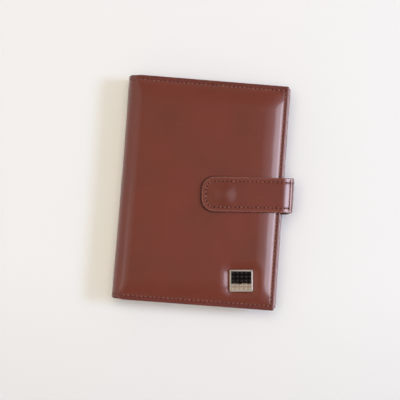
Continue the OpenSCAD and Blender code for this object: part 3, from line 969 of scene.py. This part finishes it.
def woven(name, warp, weft):
    """Close plain weave of a lining fabric with uneven yarns."""
    material, tree, skin = new_material(name)
    place = millimetres(tree, "UV")
    uneven = cloud(tree, place, 0.8, 3.0)
    axes = split(tree, place)
    pitch = math.pi / 0.45
    across = work_out(tree, "SINE", times(tree, axes["X"], pitch))
    along = work_out(tree, "SINE", times(tree, axes["Y"], pitch))
    over = ramp(tree, times(tree, across, along), -0.3, 0.3)
    yarn = plus(tree, times(tree, across, across), times(tree, along, along))
    colour = mix(tree, over, warp, weft)
    colour = mix(tree, ramp(tree, uneven, 0.35, 0.7, 0.0, 0.35), colour, (0.01, 0.006, 0.004, 1))
    coat_with(tree, skin, colour, ramp(tree, uneven, 0.3, 0.7, 0.72, 0.9))
    emboss(tree, skin, plus(tree, yarn, times(tree, over, 0.3)), 0.5)
    skin.inputs["Sheen Weight"].default_value = 0.25
    return material


def thread(name, dark, strand_highlight):
    """Twisted sewing thread with slanting strands, their pale tone a painted highlight."""
    material, tree, skin = new_material(name)
    place = node(tree, "ShaderNodeTexCoord").outputs["UV"]
    inputs = {"Vector": place, "Scale": 3.2, "Distortion": 0.6, "Detail": 1.0}
    strands = node(tree, "ShaderNodeTexWave", inputs, bands_direction="DIAGONAL").outputs["Fac"]
    uneven = ramp(tree, cloud(tree, millimetres(tree, "Object"), 0.4, 3.0), 0.34, 0.58, 0.1, 1.0)
    # Painted highlight: the pale tone on the strands, more where the clouds are high, stands in for the
    # thread's glints.
    colour = mix(tree, times(tree, strands, uneven), dark, strand_highlight)
    coat_with(tree, skin, colour, ramp(tree, strands, 0, 1, 0.55, 0.4))
    emboss(tree, skin, strands, 0.4)
    skin.inputs["Sheen Weight"].default_value = 0.2
    return material


def hole_painted_shade(name):
    """Painted shade: the dark inside of a needle hole."""
    material, tree, skin = new_material(name)
    uneven = cloud(tree, millimetres(tree, "Object"), 3.0, 2.0)
    tree.links.new(mix(tree, uneven, linear(12, 3, 3), linear(30, 10, 8)), skin.inputs["Base Color"])
    skin.inputs["Roughness"].default_value = 0.8
    skin.inputs["Specular IOR Level"].default_value = 0.05
    return material


def polishing(tree, place):
    """Fine lines that polishing leaves in metal."""
    return cloud(tree, place, 3.0, 3.0, 0.6, (0.3, 3.0, 1.0))


def metal(name, bright, dull, roughness, plated=1.0):
    """Plated metal with fine polishing lines and faint tarnish."""
    material, tree, skin = new_material(name)
    place = millimetres(tree, "Object")
    fine = polishing(tree, place)
    tarnish = ramp(tree, cloud(tree, place, 0.7, 4.0, 0.6), 0.45, 0.8, 0.0, 0.6)
    rough = ramp(tree, fine, 0.3, 0.7, roughness - 0.03, roughness + 0.05)
    coat_with(tree, skin, mix(tree, tarnish, bright, dull), rough)
    skin.inputs["Metallic"].default_value = plated
    emboss(tree, skin, fine, 0.06)
    return material


def field_painted_reflection(name):
    """Finish of the badge's field, with a painted reflection: dark nickel above and pale lacquer below a
    ragged line, and tarnished in the low places.
    """
    material, tree, skin = new_material(name)
    place = millimetres(tree, "Object")
    axes = split(tree, place)
    c, n = math.cos(BADGE_TURN), math.sin(BADGE_TURN)
    up = minus(tree, times(tree, axes["Y"], c), times(tree, axes["X"], n))
    middle = BADGE_Y * c - BADGE_X * n
    # Painted reflection: the field is dark above this ragged line and pale below it, for the room that the
    # plated field mirrors.
    reflection_split = plus(tree, up, ramp(tree, cloud(tree, place, 0.5, 3.0), 0, 1, -1.0, 1.0))
    share = ramp(tree, reflection_split, middle - 2.6, middle - 1.2)
    foot = BADGE_FLOOR_Z + FIELD_Z + POINT_FOOT
    low = ramp(tree, axes["Z"], foot, foot + 0.15, 1.0, 0.0)
    pale = mix(tree, low, linear(194, 174, 153), linear(155, 134, 114))
    dark = mix(tree, low, linear(70, 62, 60), linear(30, 24, 23))
    rough = ramp(tree, polishing(tree, place), 0.3, 0.7, 0.22, 0.32)
    coat_with(tree, skin, mix(tree, share, pale, dark), rough)
    tree.links.new(ramp(tree, share, 0, 1, 0.35, 1.0), skin.inputs["Metallic"])
    return material


def board(name):
    """Grey-brown pressed board with flecks."""
    material, tree, skin = new_material(name)
    flecks = cloud(tree, millimetres(tree, "Object"), 1.4, 5.0, 0.7)
    colour = mix(tree, flecks, linear(120, 96, 70), linear(170, 145, 112))
    coat_with(tree, skin, colour, ramp(tree, flecks, 0.3, 0.7, 0.8, 0.95))
    return material


# Inner pockets

POCKET_X0 = SPINE_X + 9.1
POCKET_X1 = FRONT_X - 1.5
POCKET_HALF = 68.5
POCKET_T = 0.7
POCKET_EDGE_R = 0.3
POCKET_BACK_Z = 14.98
POCKET_SEAM_IN = 1.0
SLIP_Z = 13.9
SLIP_MOUTH_SEAM = 2.4
CARD_POCKETS = ("upper", "middle", "lower")
CARD_LAYER = 1.5
CARD_DEPTH = 45.0
CARD_STEP = 12.0
CARD_MOUTH_SEAM = 2.6
CARD_SEAM_GAP = 0.8
SLEEVE_DEPTH = 66.0
SLEEVE_X1 = REAR_X - 1.5
SLEEVE_X0 = SLEEVE_X1 - SLEEVE_DEPTH
SLEEVE_Z = 3.7
SLEEVE_T = 0.8
SLEEVE_RISE = 4.5
SLEEVE_EDGE_R = 0.35
SLEEVE_SEAM_IN = 1.2
SLEEVE_MOUTH_SEAM = 2.4
THUMB_R = 13.0
THUMB_SEAM_ARC = math.radians(78)


def seam_dent(d, seam, deep=0.1):
    """Shallow dent along a pocket's seam, by the distance from the edge."""
    return deep * ridge(d, seam, 0.4)


def card_top(n):
    """Place of a card pocket's mouth, the first one nearest the head."""
    return -POCKET_HALF + CARD_DEPTH + (2 - n) * CARD_STEP


def card_face(n):
    """Visible face of a card pocket: sewn down along its sides and foot, free along its mouth."""
    def face(x, y):
        sewn = np.minimum(np.minimum(x - POCKET_X0, POCKET_X1 - x), y + POCKET_HALF)
        mouth = card_top(n) - y
        z = SLIP_Z - (n + 1) * CARD_LAYER + 0.7 * (1 - smooth(1.6, 5.0, sewn))
        z = z + seam_dent(mouth, CARD_MOUTH_SEAM, 0.12) + seam_dent(sewn, POCKET_SEAM_IN)
        z = z + 0.03 * (1 + waves(x, y, 16, 50.0 + n))
        return z + edge_round(np.minimum(sewn, mouth), POCKET_EDGE_R)
    return face


def slip_face(x, y):
    """Visible face of the slip pocket, free along the spine side and sewn along the other three."""
    sewn = np.minimum(POCKET_X1 - x, POCKET_HALF - np.abs(y))
    mouth = x - POCKET_X0
    z = SLIP_Z + 0.3 * (1 - smooth(1.6, 6.0, sewn)) + seam_dent(sewn, POCKET_SEAM_IN)
    z = z + seam_dent(mouth, SLIP_MOUTH_SEAM) + 0.03 * (1 + waves(x, y, 20, 60.0))
    return z + edge_round(np.minimum(sewn, mouth), POCKET_EDGE_R)


def add_pocket(name, material, face, top):
    """Pocket panel inside the front, from the tail up to its top."""
    edge = lines(0.0, (0.12, 1), (0.35, 1), (1.0, 1), (4.0, 6))
    columns = between(POCKET_X0, POCKET_X1, edge, 40)
    x, y = np.meshgrid(columns, between(-POCKET_HALF, top, edge, 36), indexing="ij")
    z = face(x, y)
    near = np.minimum(np.minimum(x - POCKET_X0, POCKET_X1 - x), np.minimum(y + POCKET_HALF, top - y))
    back = np.minimum(z + POCKET_T - 1.4 * edge_round(near, POCKET_EDGE_R), POCKET_BACK_Z)
    return add_layer(name, material, stack(x, y, back), stack(x, y, z), (x, y), np.exp(-near / 0.5))


def sleeve_start(y):
    """Mouth of the passport sleeve with its thumb cut."""
    return SLEEVE_X0 + np.sqrt(np.clip(THUMB_R ** 2 - y ** 2, 0, None))


def sleeve_face(x, y):
    """Visible face of the passport sleeve, raised between its sewn edges."""
    sewn = np.minimum(SLEEVE_X1 - x, POCKET_HALF - np.abs(y))
    mouth = x - sleeve_start(y)
    z = SLEEVE_Z + SLEEVE_T + SLEEVE_RISE * smooth(2.3, 5.2, sewn)
    z = z - seam_dent(sewn, SLEEVE_SEAM_IN) - seam_dent(mouth, SLEEVE_MOUTH_SEAM)
    z = z - 0.05 * (1 + waves(x, y, 24, 70.0)) * smooth(4, 9, sewn)
    return z - edge_round(np.minimum(sewn, mouth), SLEEVE_EDGE_R)


def add_sleeve(name, material):
    """Formed passport sleeve with a raised body, a sewn foot and a thumb cut in its mouth."""
    edge = lines(0.0, (0.12, 1), (0.35, 1), (1.0, 1), (2.0, 2), (7.0, 12))
    cut = lines(0.0, (9.0, 8), (12.0, 6), (THUMB_R, 6), (THUMB_R + 1, 2), (POCKET_HALF - edge[-1], 26))
    upper = np.concatenate([cut[:-1], POCKET_HALF - edge[::-1]])
    rows = np.concatenate([-upper[:0:-1], upper])
    mouth = lines(0.0, (0.12, 1), (0.35, 1), (4.0, 8))
    body = lines(mouth[-1], (SLEEVE_DEPTH - edge[-1], 34))[1:-1]
    share = np.concatenate([mouth, body, SLEEVE_DEPTH - edge[::-1]]) / SLEEVE_DEPTH
    u, y = np.meshgrid(share, rows, indexing="ij")
    start = sleeve_start(y)
    x = start + u * (SLEEVE_X1 - start)
    face = sleeve_face(x, y)
    near = np.minimum(np.minimum(SLEEVE_X1 - x, x - start), POCKET_HALF - np.abs(y))
    back = face - SLEEVE_T + 1.4 * edge_round(near, SLEEVE_EDGE_R)
    askew = y + rear_skew(x)
    wear_and_edge_shading_share = np.exp(-near / 0.6)
    return add_layer(name, material, stack(x, askew, face), stack(x, askew, back), (x, y), wear_and_edge_shading_share)


def sew_pockets(model):
    """Seams of the pockets inside the front: mouths, sides and feet."""
    left, right = POCKET_X0 + POCKET_SEAM_IN, POCKET_X1 - POCKET_SEAM_IN
    foot, head = POCKET_SEAM_IN - POCKET_HALF, POCKET_HALF - POCKET_SEAM_IN
    rows = []

    def row(name, face, corners):
        rows.append(sew_on(name, model, lambda x, y: stack(x, y, face(x, y)), corners,
                           level_facing(-1), POCKET_STITCH))

    for n, name in enumerate(CARD_POCKETS):
        face = card_face(n)
        top = card_top(n) - CARD_MOUTH_SEAM
        row("card_mouth_stitches_" + name, face, [(left, top), (right, top)])
        if n + 1 < len(CARD_POCKETS):
            low = card_top(n + 1) + CARD_SEAM_GAP
            row("card_side_stitches_" + name, face, [(left, top), (left, low)])
            row("card_edge_stitches_" + name, face, [(right, top), (right, low)])
        else:
            row("card_side_stitches_" + name, face, [(left, top), (left, foot), (right, foot), (right, top)])
    row("slip_stitches", slip_face, [(right, card_top(0) + CARD_SEAM_GAP), (right, head), (left, head)])
    return join("pocket_stitches", rows)


def sew_sleeve(model):
    """Seams of the passport sleeve: round its foot, and along its mouth and thumb cut."""
    def face(x, y):
        return stack(x, y + rear_skew(x), sleeve_face(x, y))

    def row(name, corners):
        return sew_on(name, model, face, corners, level_facing(1), POCKET_STITCH)

    near, far = SLEEVE_X0 + 1.0, SLEEVE_X1 - SLEEVE_SEAM_IN
    side = POCKET_HALF - SLEEVE_SEAM_IN
    foot = row("sleeve_foot_stitches", [(near, side), (far, side), (far, -side), (near, -side)])
    r = THUMB_R + SLEEVE_MOUTH_SEAM
    turns = np.linspace(-THUMB_SEAM_ARC, THUMB_SEAM_ARC, 9)
    thumb = [(SLEEVE_X0 + r * math.cos(t), r * math.sin(t)) for t in turns]
    mouth_x = SLEEVE_X0 + SLEEVE_MOUTH_SEAM
    mouth = row("sleeve_mouth_stitches", [(mouth_x, 1 - side)] + thumb + [(mouth_x, side - 1)])
    return join("sleeve_stitches", [foot, mouth])


# Metal parts

def pick(piece, kind, test):
    """Selects the faces or edges that pass a test, and nothing else, in edit mode."""
    done()
    mesh = piece.data
    for part in (*mesh.vertices, *mesh.edges, *mesh.polygons):
        part.select = False
    for part in mesh.polygons if kind == "FACE" else mesh.edges:
        part.select = bool(test(part))
    bpy.ops.object.mode_set(mode="EDIT")
    bpy.ops.mesh.select_mode(type=kind)


def soften(piece, width, angle=35):
    """Small rounded edges, applied."""
    bevel = piece.modifiers.new("soft_edges", "BEVEL")
    bevel.width = width * MM
    bevel.segments = 3
    bevel.limit_method = "ANGLE"
    bevel.angle_limit = math.radians(angle)
    bpy.context.view_layer.objects.active = piece
    bpy.ops.object.modifier_apply(modifier=bevel.name)


def settle(piece, x, y, z, turn=0.0):
    """Puts a piece modelled about the origin in its place, with the place in its mesh."""
    piece.data.transform(Matrix.Translation(Vector((x, y, z)) * MM) @ Matrix.Rotation(turn, 4, "Z"))
    piece.data.update()


def add_badge_frame(material):
    """Metal tray of the badge, pressed into the leather: soft corners, a raised rim and a sunk floor."""
    deselect()
    bpy.ops.mesh.primitive_cube_add(size=1, location=(0, 0, (BADGE_T - BADGE_SUNK) / 2 * MM),
                                    scale=(BADGE_W * MM, BADGE_H * MM, (BADGE_T + BADGE_SUNK) * MM))
    bpy.ops.object.transform_apply(location=True, scale=True)
    piece = bpy.context.object

    def upright(edge):
        low, high = (piece.data.vertices[k].co.z for k in edge.vertices)
        return abs(low - high) > 1e-5

    pick(piece, "EDGE", upright)
    bpy.ops.mesh.bevel(offset=BADGE_CORNER_R * MM, segments=4, affect="EDGES")
    pick(piece, "FACE", lambda face: face.normal.z > 0.9)
    bpy.ops.mesh.inset(thickness=BADGE_RIM * MM)
    bpy.ops.mesh.extrude_region_move(TRANSFORM_OT_translate={"value": (0, 0, -BADGE_DEEP * MM)})
    done()
    soften(piece, 0.14)
    bpy.ops.object.shade_smooth_by_angle(angle=math.radians(40))
    settle(piece, BADGE_X, BADGE_Y, BADGE_FLOOR_Z, BADGE_TURN)
    return named(piece, "badge_tray", material)


def add_badge_field(material):
    """Field of the badge: small raised points in even rows."""
    w = (BADGE_W - 2 * BADGE_RIM - FIELD_GAP) * MM
    h = (BADGE_H - 2 * BADGE_RIM - FIELD_GAP) * MM
    steps = 2 * BADGE_POINTS
    deselect()
    bpy.ops.mesh.primitive_grid_add(x_subdivisions=steps, y_subdivisions=steps, size=1)
    piece = bpy.context.object
    for v in piece.data.vertices:
        i, j = round((v.co.x + 0.5) * steps), round((v.co.y + 0.5) * steps)
        peak = i % 2 == 1 and j % 2 == 1
        v.co = (v.co.x * w, v.co.y * h, (POINT_PEAK if peak else POINT_FOOT) * MM)
    edit()
    bpy.ops.mesh.quads_convert_to_tris(quad_method="LONGEST_DIAGONAL")
    done()
    solid = piece.modifiers.new("plate", "SOLIDIFY")
    solid.thickness = FIELD_T * MM
    solid.offset = -1
    bpy.ops.object.modifier_apply(modifier=solid.name)
    edit()
    bpy.ops.mesh.tris_convert_to_quads(face_threshold=0.02, shape_threshold=3.14)
    done()
    soften(piece, 0.09, 14)
    bpy.ops.object.shade_smooth_by_angle(angle=math.radians(12))
    settle(piece, BADGE_X, BADGE_Y, BADGE_FLOOR_Z + FIELD_Z, BADGE_TURN)
    return named(piece, "badge_field", material)


def turned(name, material, profile, x, y):
    """Turned metal part: a half section spun about its axis."""
    mesh = bpy.data.meshes.new(name)
    joints = [(k, k + 1) for k in range(len(profile) - 1)]
    mesh.from_pydata([(r * MM, 0, z * MM) for r, z in profile], joints, [])
    piece = bpy.data.objects.new(name, mesh)
    bpy.context.collection.objects.link(piece)
    deselect()
    piece.select_set(True)
    bpy.context.view_layer.objects.active = piece
    edit()
    bpy.ops.mesh.spin(steps=56, angle=2 * math.pi, center=(0, 0, 0), axis=(0, 0, 1))
    bpy.ops.mesh.select_all(action="SELECT")
    bpy.ops.mesh.remove_doubles(threshold=1e-6)
    bpy.ops.mesh.normals_make_consistent(inside=False)
    done()
    bpy.ops.object.shade_smooth_by_angle(angle=math.radians(35))
    settle(piece, x, y, 0)
    return named(piece, name, material)


def round_profile(points, r):
    """Half section with its inner corners rounded."""
    out = [points[0]]
    for a, b, c in zip(points[:-2], points[1:-1], points[2:]):
        b = Vector(b)
        to_a, to_c = Vector(a) - b, Vector(c) - b
        cut = min(r, to_a.length * 0.45, to_c.length * 0.45)
        first, last = b + to_a.normalized() * cut, b + to_c.normalized() * cut
        for t in (0, 0.25, 0.5, 0.75, 1):
            out.append(tuple((first * (1 - t) + b * t) * (1 - t) + (b * (1 - t) + last * t) * t))
    out.append(points[-1])
    return out


def add_snap_stud(material):
    """Stud of the snap on the front: a flange, a neck and a head, with a bore for its rivet."""
    z = SNAP_FLOOR_Z
    bore = 1.06
    profile = [(bore, z + 2.3), (bore, z), (5.0, z), (5.0, z + 0.5), (2.6, z + 0.5), (1.85, z + 0.7),
               (1.8, z + 1.85), (2.2, z + 2.0), (2.15, z + 2.4), (1.3, z + 2.4), (bore, z + 2.3)]
    return turned("snap_stud_turned", material, round_profile(profile, 0.3), SNAP_X, SNAP_Y)


def add_snap_socket(material):
    """Socket of the snap in the strap's tab: a flange, a barrel and a groove for the spring ring."""
    low, rim, top = 19.95, 20.54, 21.5
    groove_low, groove_top = 20.45, 21.05
    profile = [(2.6, low), (4.2, low), (5.0, low + 0.25), (5.0, rim), (3.4, rim), (3.4, top), (2.3, top),
               (2.3, groove_top), (2.85, groove_top), (2.85, groove_low), (2.6, groove_low), (2.6, low)]
    return turned("snap_socket_turned", material, round_profile(profile, 0.18), SNAP_X, SNAP_Y)


# Studio

def add_floor(material):
    """Wide floor that the wallet lies on."""
    deselect()
    bpy.ops.mesh.primitive_plane_add(size=8, location=(0, 0, 0))
    named(bpy.context.object, "studio_floor", material)


def floor_paint():
    """Plain pale floor, with painted shade that greys it a little towards the tail."""
    material, tree, skin = new_material("pale_floor")
    place = millimetres(tree, "Object")
    floor_tone_and_shade = mix(tree, cloud(tree, place, 0.004, 2.0), linear(252, 249, 247), linear(253, 251, 248))
    # Painted shade: greyer towards the tail.
    floor_tone_and_shade = mix(tree, ramp(tree, split(tree, place)["Y"], -50, -140), floor_tone_and_shade, linear(244, 241, 239))
    tree.links.new(floor_tone_and_shade, skin.inputs["Base Color"])
    skin.inputs["Roughness"].default_value = 0.95
    skin.inputs["Specular IOR Level"].default_value = 0.1
    return material


def add_light(name, place, target, size, radiance, colour):
    """Soft rectangular lamp of a given brightness, turned to a target; lengths in metres."""
    lamp = bpy.data.lights.new(name, "AREA")
    lamp.shape = "RECTANGLE"
    lamp.size, lamp.size_y = size
    lamp.energy = radiance * math.pi * size[0] * size[1]
    lamp.color = colour
    holder = bpy.data.objects.new(name, lamp)
    bpy.context.collection.objects.link(holder)
    holder.location = place
    holder.rotation_euler = (Vector(target) - Vector(place)).to_track_quat("-Z", "Y").to_euler()
    return holder


def add_card(name, place, size, radiance, colour):
    """Bright card that shows in the gloss alone."""
    add_light(name, place, (0.0, 0.0, 0.02), size, radiance, colour).visible_diffuse = False


def add_lamp(name, place, size, radiance, colour):
    """Lamp that lights the scene and casts its shadows, but shows in no gloss."""
    add_light(name, place, (0.0, 0.0, 0.0), size, radiance, colour).visible_glossy = False


def light_studio():
    """Cards for the sheen of the leather, a key lamp from the right and a fill lamp above."""
    add_card("card_side", (1.51, 0.12, 1.385), (0.75, 0.39), 11.5, (0.82, 0.82, 1.0))
    add_card("card_upper", (1.205, 0.12, 1.66), (0.75, 0.43), 5.0, (0.85, 0.85, 1.0))
    add_card("card_top", (0.70, 0.12, 1.926), (0.9, 0.73), 0.5, (0.9, 0.88, 1.0))
    add_card("card_low", (1.84, 0.12, 0.92), (0.75, 0.78), 3.6, (1.0, 0.93, 0.9))
    add_card("card_left", (-1.27, -0.26, 1.54), (0.78, 0.5), 0.68, (0.9, 1.0, 0.98))
    add_lamp("key_right", (1.57, 0.15, 1.28), (0.6, 0.45), 21.2, (0.5, 0.615, 0.95))
    add_lamp("fill_above", (-0.2, 0.1, 1.9), (1.5, 1.5), 3.4, (1.0, 0.95, 0.80))


def set_world():
    """Room round the object: pale near the horizon, dimmer overhead, weaker as light than in the gloss."""
    world = bpy.data.worlds.new("soft_room")
    bpy.context.scene.world = world
    world.use_nodes = True
    tree = world.node_tree
    way = split(tree, node(tree, "ShaderNodeTexCoord").outputs["Generated"])
    colour = mix(tree, ramp(tree, way["Z"], 0.35, 0.97), (0.62, 0.575, 0.525, 1), (0.13, 0.124, 0.12, 1))
    colour = mix(tree, ramp(tree, way["X"], -0.18, -0.44), colour, (0.73, 0.70, 0.66, 1))
    colour = mix(tree, ramp(tree, way["X"], 0.2, 0.5), colour, (0.62, 0.62, 0.69, 1))
    back = tree.nodes["Background"]
    tree.links.new(colour, back.inputs["Color"])
    rays = node(tree, "ShaderNodeLightPath")
    tree.links.new(ramp(tree, rays.outputs["Is Diffuse Ray"], 0, 1, 1.0, 0.45), back.inputs["Strength"])


def set_camera():
    """Camera of the photograph: nearly overhead, leaning to the tail and the spine, and rolled a little."""
    lens = bpy.data.cameras.new("photo_camera")
    lens.lens = 100
    lens.sensor_width = 36
    lens.dof.use_dof = False
    camera = bpy.data.objects.new("photo_camera", lens)
    bpy.context.collection.objects.link(camera)
    roll = math.radians(4.31)
    to_tail = math.radians(4.0)
    to_spine = math.radians(2.0)
    distance = 0.6881
    target = Vector((-3.95 * MM, -5.2 * MM, 17 * MM))
    up = Vector((-math.sin(roll), math.cos(roll), 0))
    across = Vector((math.cos(roll), math.sin(roll), 0))
    back = (Vector((0, 0, 1)) - up * math.tan(to_tail) - across * math.tan(to_spine)).normalized()
    right = up.cross(back).normalized()
    true_up = back.cross(right)
    camera.matrix_world = Matrix.Translation(target + back * distance) @ Matrix(
        (right, true_up, back)).transposed().to_4x4()
    bpy.context.scene.camera = camera


def dress_frame(looks):
    """Finish of the CAD nodes that stay: boards and hidden metal."""
    for name, material in looks.items():
        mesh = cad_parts[name].data
        mesh.materials.clear()
        mesh.materials.append(material)


def add_covers(brown, rear_brown, cloth, stitch):
    """Both covers with their halves of the spine, their linings and their seams."""
    front, front_swell = add_cover("front_cover_skin", brown, front_form, FRONT_RUN, FRONT_PAD, True)
    rear, rear_swell = add_cover("rear_cover_skin", rear_brown, rear_form, REAR_RUN, REAR_PAD, False)
    front_cloth = add_lining("front_lining_cloth", cloth, FRONT_RUN, FRONT_PAD, True)
    rear_cloth = add_lining("rear_lining_cloth", cloth, REAR_RUN, REAR_PAD, False)
    front_seam = sew_cover("front_cover_stitches", stitch, front_form, front_swell, FRONT_RUN, True)
    rear_seam = sew_cover("rear_cover_stitches", stitch, rear_form, rear_swell, REAR_RUN, False)
    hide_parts("front_leather", "front_padding", "spine_leather", "spine_padding")
    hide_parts("rear_leather", "rear_padding", "spine_leather", "spine_padding")
    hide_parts("front_lining", "spine_lining")
    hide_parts("rear_lining", "spine_lining")
    for piece in (front, front_cloth, front_seam):
        bend_front(piece)
    for piece in (rear, rear_cloth, rear_seam):
        bend_rear(piece)


def add_strap(belt, inside, stitch):
    """The strap in two lengths, each of leather and lining, and its seam."""
    root = add_strap_leather("strap_root_skin", belt, 0.0, STRAP_MID)
    tab = add_strap_leather("strap_tab_skin", belt, STRAP_MID, STRAP_END)
    root_under = add_strap_lining("strap_root_under", inside, 0.0, STRAP_MID)
    tab_under = add_strap_lining("strap_tab_under", inside, STRAP_MID, STRAP_END)
    root_seam, tab_seam = sew_strap(stitch)
    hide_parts("strap_root_leather", "strap_side_leather")
    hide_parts("strap_tab_leather")
    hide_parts("strap_root_lining", "strap_side_lining")
    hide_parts("strap_tab_lining")
    for piece in (root, root_under, root_seam):
        bend_strap_root(piece)
    for piece in (tab, tab_under, tab_seam):
        bend_strap_tab(piece)


def add_pockets(inside, stitch):
    """Slip pocket and card pockets in the front, the passport sleeve in the rear, and their seams."""
    pockets = [add_pocket("slip_pocket_panel", inside, slip_face, POCKET_HALF)]
    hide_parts("slip_pocket")
    for n, name in enumerate(CARD_POCKETS):
        pockets.append(add_pocket("card_pocket_panel_" + name, inside, card_face(n), card_top(n)))
        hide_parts("card_pocket_" + name)
    sleeve = add_sleeve("passport_sleeve_formed", inside)
    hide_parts("passport_sleeve")
    pockets.append(sew_pockets(stitch))
    sleeve_seam = sew_sleeve(stitch)
    for piece in pockets:
        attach(piece, "front_cover")
    for piece in (sleeve, sleeve_seam):
        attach(piece, "rear_cover")


def add_metal(chrome, field, nickel):
    """The badge with its field, and the two halves of the snap."""
    tray = add_badge_frame(chrome)
    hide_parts("badge_frame")
    points = add_badge_field(field)
    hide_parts("badge_plate")
    stud = add_snap_stud(nickel)
    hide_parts("snap_stud")
    for piece in (tray, points, stud):
        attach(piece, "front_cover")
    socket = add_snap_socket(nickel)
    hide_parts("snap_socket")
    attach(socket, "strap_tab")


def build():
    """Studio, finishes and then the pieces."""
    bpy.context.scene.view_settings.view_transform = "Standard"
    set_camera()
    set_world()
    add_floor(floor_paint())
    light_studio()

    deep, pale = linear(106, 45, 27), linear(117, 46, 31)
    # Edge tones: the front's dark one is painted shade on its seam margin, the rear's pale one a painted
    # sheen on its edges, the strap's pale one a painted highlight on its rim, the inner leather's plain
    # rubbing; the front also carries the painted strap shadow.
    brown = leather("cover_leather_waxed", deep, pale, linear(86, 28, 25), 0.36, 0.25, 1.0, painted_strap_shadow=True)
    rear_brown = leather("rear_leather_waxed", deep, pale, linear(148, 78, 62), 0.36, 0.25, 0.8)
    belt = leather("strap_leather_waxed", linear(104, 42, 26), linear(114, 46, 31), linear(176, 118, 102),
                   0.36, 0.3, 1.0)
    inside = leather("inner_leather", linear(94, 46, 34), linear(112, 57, 43), linear(126, 72, 56),
                     0.48, 0.5, 0.15)
    cloth = woven("lining_weave", linear(74, 50, 38), linear(96, 66, 50))
    # The thread's pale tone is its painted highlight.
    yarn = thread("seam_thread", linear(98, 42, 32), linear(190, 116, 94))
    chrome = metal("badge_polish", (0.52, 0.46, 0.395, 1), (0.35, 0.30, 0.26, 1), 0.46, 0.45)
    nickel = metal("snap_nickel", (0.66, 0.63, 0.58, 1), (0.4, 0.36, 0.3, 1), 0.22)
    brass = metal("spring_brass", (0.72, 0.55, 0.28, 1), (0.4, 0.28, 0.12, 1), 0.25)
    dress_frame({"front_board": board("pressed_board"), "rear_board": board("pressed_board_rear"),
                 "badge_backing": nickel, "snap_rivet": nickel, "snap_cap": nickel, "snap_spring": brass})

    # Stitch model; its needle holes carry painted shade.
    stitch = model_stitch(yarn, hole_painted_shade("hole_painted_shade"))
    add_covers(brown, rear_brown, cloth, stitch)
    add_strap(belt, inside, stitch)
    add_pockets(inside, stitch)
    bpy.data.objects.remove(stitch)
    add_metal(chrome, field_painted_reflection("badge_field_painted_reflection"), nickel)


build()
